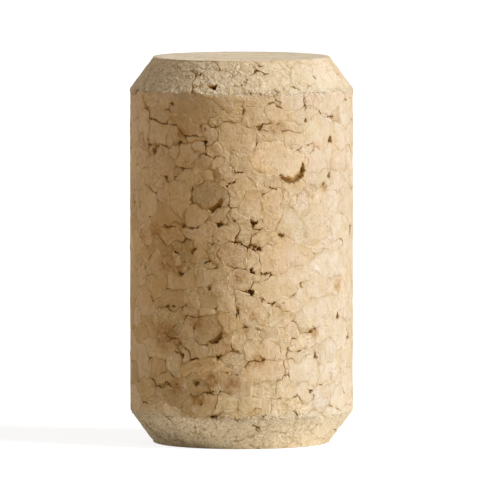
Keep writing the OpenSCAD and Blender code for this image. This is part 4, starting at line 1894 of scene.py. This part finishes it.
    def _seams(self) -> None:
        """Darken the seams where they stand open, and paint a highlight along them where they are
        raised.
        """
        desk, look = self.desk, self.finish
        seam, dark = desk.mark("seam"), desk.near("dark", full=0.7)
        strength = desk.ease(desk.mark("open"), 0.05, 0.75, 0.38, 0.95)
        strength = desk.times(strength, desk.near("tight", 1.0, 0.8))
        strength = desk.sum("MAXIMUM", strength, desk.times(dark, 0.80))
        fade = desk.ease(self.raised, 0.55, 0.44, 0.12, 1.0)
        fade = desk.sum("MAXIMUM", fade, desk.ease(desk.mark("open"), 0.55, 0.85))
        fade = desk.sum("MAXIMUM", fade, desk.times(dark, 0.9))
        width = desk.near("dark", 0.11, 0.19, full=0.7)
        line = desk.times(desk.ease(seam, 0.01, width, 1.0, 0.0), strength, fade)
        line = desk.sum("MAXIMUM", line, desk.times(self.cracks, 0.22))
        quiet = desk.ease(desk.mark("ground"), 0.0, 1.0, 1.0, 0.9)
        beside = desk.ease(seam, 0.0, 0.5, 1.0, 0.0)
        self._lay(desk.times(beside, self._patches(look.smudges), quiet, strength), look.smudge)
        # Painted highlight: a pale line along raised stretches of seam
        pale = desk.ease(self.raised, 0.52, 0.62, 0.0, 0.7)
        self._lay(desk.times(desk.ease(seam, 0.04, 0.20, 1.0, 0.0), pale), look.lip_highlight)
        self._lay(desk.times(line, quiet), look.crease)

    def _gaps(self) -> None:
        """Brown the gaps and paint their shade: a soft edge, walls, and a floor that darkens with depth,
        paler in patches.
        """
        desk, look, gap_shade = self.desk, self.finish, self.desk.mark("gap_shade")
        edge = desk.ease(desk.mark("outside"), 0.20, -0.02, 0.0, 0.42)
        self._lay(desk.times(edge, self._patches(look.gap_smudges)), look.crease)
        gap_paling = self._patches(look.gap_paling_patches)
        walls = desk.mix(gap_paling, look.brown, look.gap_pale_brown)
        # Brown walls that darken with depth: partly the cork's own brown, partly painted shade
        self._lay(desk.ease(gap_shade, 0.03, 0.28, 0.0, 0.85), walls)
        # Painted shade: a near-black floor where the gap is deepest, weaker in the paler patches
        floor = desk.times(desk.ease(gap_shade, 0.26, 0.50), desk.ease(gap_paling, 0.0, 1.0, 1.0, 0.3))
        self._lay(floor, look.gap_floor_shade)

    def _relief(self) -> Socket:
        """Shape the fine relief: a cork skin, cut cells, cracks and ground chamfers.

        Returns:
            The way that each place faces.
        """
        desk, look, place, seam = self.desk, self.finish, self.place, self.desk.mark("seam")
        upright = desk.arrow("MULTIPLY", place, (6, 6, 0.7))
        torn = desk.near("torn", 0.0, look.torn_height)
        pored = desk.sum("MINIMUM", self._patches(look.pored_relief), torn)
        lifted = desk.ease(self.raised, 0.42, 0.62, look.sunk_seam, look.raised_seam)
        pillow = desk.times(self._patches(look.pillows), desk.near("tight", 1.0, 0.5, full=0.9))
        height = desk.total(
            desk.times(desk.cloud(place, 1.3, 5, 0.55), look.skin_height),
            desk.times(desk.cloud(upright, 1.0), look.line_height),
            desk.times(desk.cloud(place, 5.0, 2, 0.6), look.grit_height),
            desk.times(self.streaks, look.streak_height),
            desk.times(self.pebbles, desk.mark("ground"), pored),
            desk.times(self.crumbs, look.crumb_height),
            desk.times(self.cracks, look.crack_height),
            desk.times(desk.ease(seam, 0.0, 0.16, 1.0, 0.0), lifted),
            desk.times(desk.ease(seam, 0.0, 0.42), pillow),
        )
        leaning = desk.arrow("MULTIPLY", desk.mark("lean", "Vector"), (look.lean, look.lean, look.lean))
        facing = desk.node("ShaderNodeNewGeometry", {}).outputs["Normal"]
        facing = desk.arrow("NORMALIZE", desk.arrow("ADD", facing, leaning))
        calm = desk.ease(desk.mark("end"), 0.0, 1.0, 1.0, 0.4)
        inputs = {"Height": height, "Distance": MM, "Strength": calm, "Normal": facing}
        return desk.node("ShaderNodeBump", inputs).outputs[0]


@dataclass(frozen=True)
class Lamp:
    """A distant lamp. Its azimuth is from the front, rightwards, in degrees."""

    name: str
    azimuth: float
    elevation: float
    strength: float
    spread: float
    colour: tuple[float, float, float]


@dataclass(frozen=True)
class Studio:
    """Floor, backdrop, lamps and camera."""

    view_elevation: float = 4.0
    lens: float = 800.0
    sensor: float = 36.0
    span: float = 56.92
    aim_aside: float = 0.97
    aim_height: float = 21.89
    sight: float = 10.0
    floor_half: float = 3.0
    floor_near: Colour = (0.97, 0.94, 0.87, 1)
    floor_far: Colour = (0.80, 0.52, 0.24, 1)
    near_reach: float = 20.0
    far_reach: float = 45.0
    floor_seen: Colour = (0.40, 0.40, 0.40, 1)
    floor_glow: float = 0.85
    sky: Colour = (0.95, 0.80, 0.60, 1)
    sky_strength: float = 0.03
    backdrop: Colour = (1, 1, 1, 1)
    lamps: tuple[Lamp, ...] = (
        Lamp("key", 67, 33, 2.78, 25, (1.0, 1.0, 1.0)),
        Lamp("top", 0, 80, 0.45, 60, (1.0, 0.99, 0.97)),
        Lamp("back_left", -125, 25, 0.35, 40, (1.0, 0.98, 0.95)),
    )

    def build(self) -> bpy.types.Object:
        """Set up the whole studio.

        Returns:
            The floor.
        """
        self._camera()
        for lamp in self.lamps:
            self._lamp(lamp)
        self._world()
        return self._floor()

    def _camera(self) -> None:
        """Set the camera square to the front, a little above the middle."""
        data = bpy.data.cameras.new("camera")
        data.lens = self.lens
        data.sensor_width = self.sensor
        data.clip_end = self.sight
        camera = placed("camera", data)
        distance = self.lens / self.sensor * self.span
        back = self._way(0.0, self.view_elevation)
        aim = Vector((self.aim_aside, 0.0, self.aim_height))
        camera.location = (aim + back * distance) * MM
        camera.rotation_euler = back.to_track_quat("Z", "Y").to_euler()
        bpy.context.scene.camera = camera

    @staticmethod
    def _way(azimuth: float, elevation: float) -> Vector:
        """Find the way to an azimuth from the front, rightwards, and an elevation, in degrees."""
        around, up = math.radians(azimuth), math.radians(elevation)
        return Vector((math.sin(around) * math.cos(up), -math.cos(around) * math.cos(up), math.sin(up)))

    def _lamp(self, lamp: Lamp) -> None:
        """Hang one lamp.

        Args:
            lamp: The lamp's place, strength and colour.
        """
        data = bpy.data.lights.new(lamp.name, "SUN")
        data.energy = lamp.strength
        data.color = lamp.colour
        data.angle = math.radians(lamp.spread)
        way = self._way(lamp.azimuth, lamp.elevation)
        placed(lamp.name, data).rotation_euler = way.to_track_quat("Z", "Y").to_euler()

    def _world(self) -> None:
        """Light the surroundings dimly and show them white."""
        world = bpy.data.worlds.new("surroundings")
        desk = Desk(world, "ShaderNodeOutputWorld")
        lit = desk.node("ShaderNodeBackground", {"Color": self.sky, "Strength": self.sky_strength})
        seen = desk.node("ShaderNodeBackground", {"Color": self.backdrop})
        desk.finish(desk.shown(lit, seen))
        bpy.context.scene.world = world
        bpy.context.scene.view_settings.view_transform = "Standard"

    def _floor(self) -> bpy.types.Object:
        """Lay the floor, white to the eye and warm in the light that it throws back.

        Returns:
            The floor.
        """
        half = self.floor_half
        mesh = bpy.data.meshes.new("floor")
        corners = [(-half, -half, 0), (half, -half, 0), (half, half, 0), (-half, half, 0)]
        mesh.from_pydata(corners, [], [(0, 1, 2, 3)])
        material = bpy.data.materials.new("floor")
        desk = Desk(material, "ShaderNodeOutputMaterial")
        metres = desk.node("ShaderNodeTexCoord", {}).outputs["Object"]
        away = desk.node("ShaderNodeVectorMath", {0: metres}, operation="LENGTH").outputs["Value"]
        far = desk.ease(away, self.near_reach * MM, self.far_reach * MM)
        sheet = desk.mix(far, self.floor_near, self.floor_far)
        bounce = desk.node("ShaderNodeBsdfDiffuse", {"Color": sheet})
        seen = desk.node("ShaderNodeBsdfDiffuse", {"Color": self.floor_seen})
        glow = desk.node("ShaderNodeEmission", {"Strength": self.floor_glow})
        white = desk.node("ShaderNodeAddShader", {0: seen.outputs[0], 1: glow.outputs[0]})
        desk.finish(desk.shown(bounce, white))
        mesh.materials.append(material)
        return placed("floor", mesh)


def main() -> None:
    """Build the skin, finish it and set up the studio."""
    logging.basicConfig(level=logging.INFO, format="%(name)s: %(message)s")
    form = StopperForm.from_frame()
    beds = laid_gaps(form)
    pack = GranulePack(form, beds)
    skin = Skin(form, pack, beds).build()
    skin.data.materials.append(CorkPaint(CorkFinish()).make())
    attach(skin, BODY)
    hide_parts(NODE)
    triangles, granules = len(skin.data.polygons), len(pack.lots)
    log.info("%s: %d triangles, %d granules, %d gaps", skin.name, triangles, granules, len(beds))
    Studio().build()
    log.info("floor, surroundings, camera and lamps: in place")


if __name__ == "__main__":
    main()
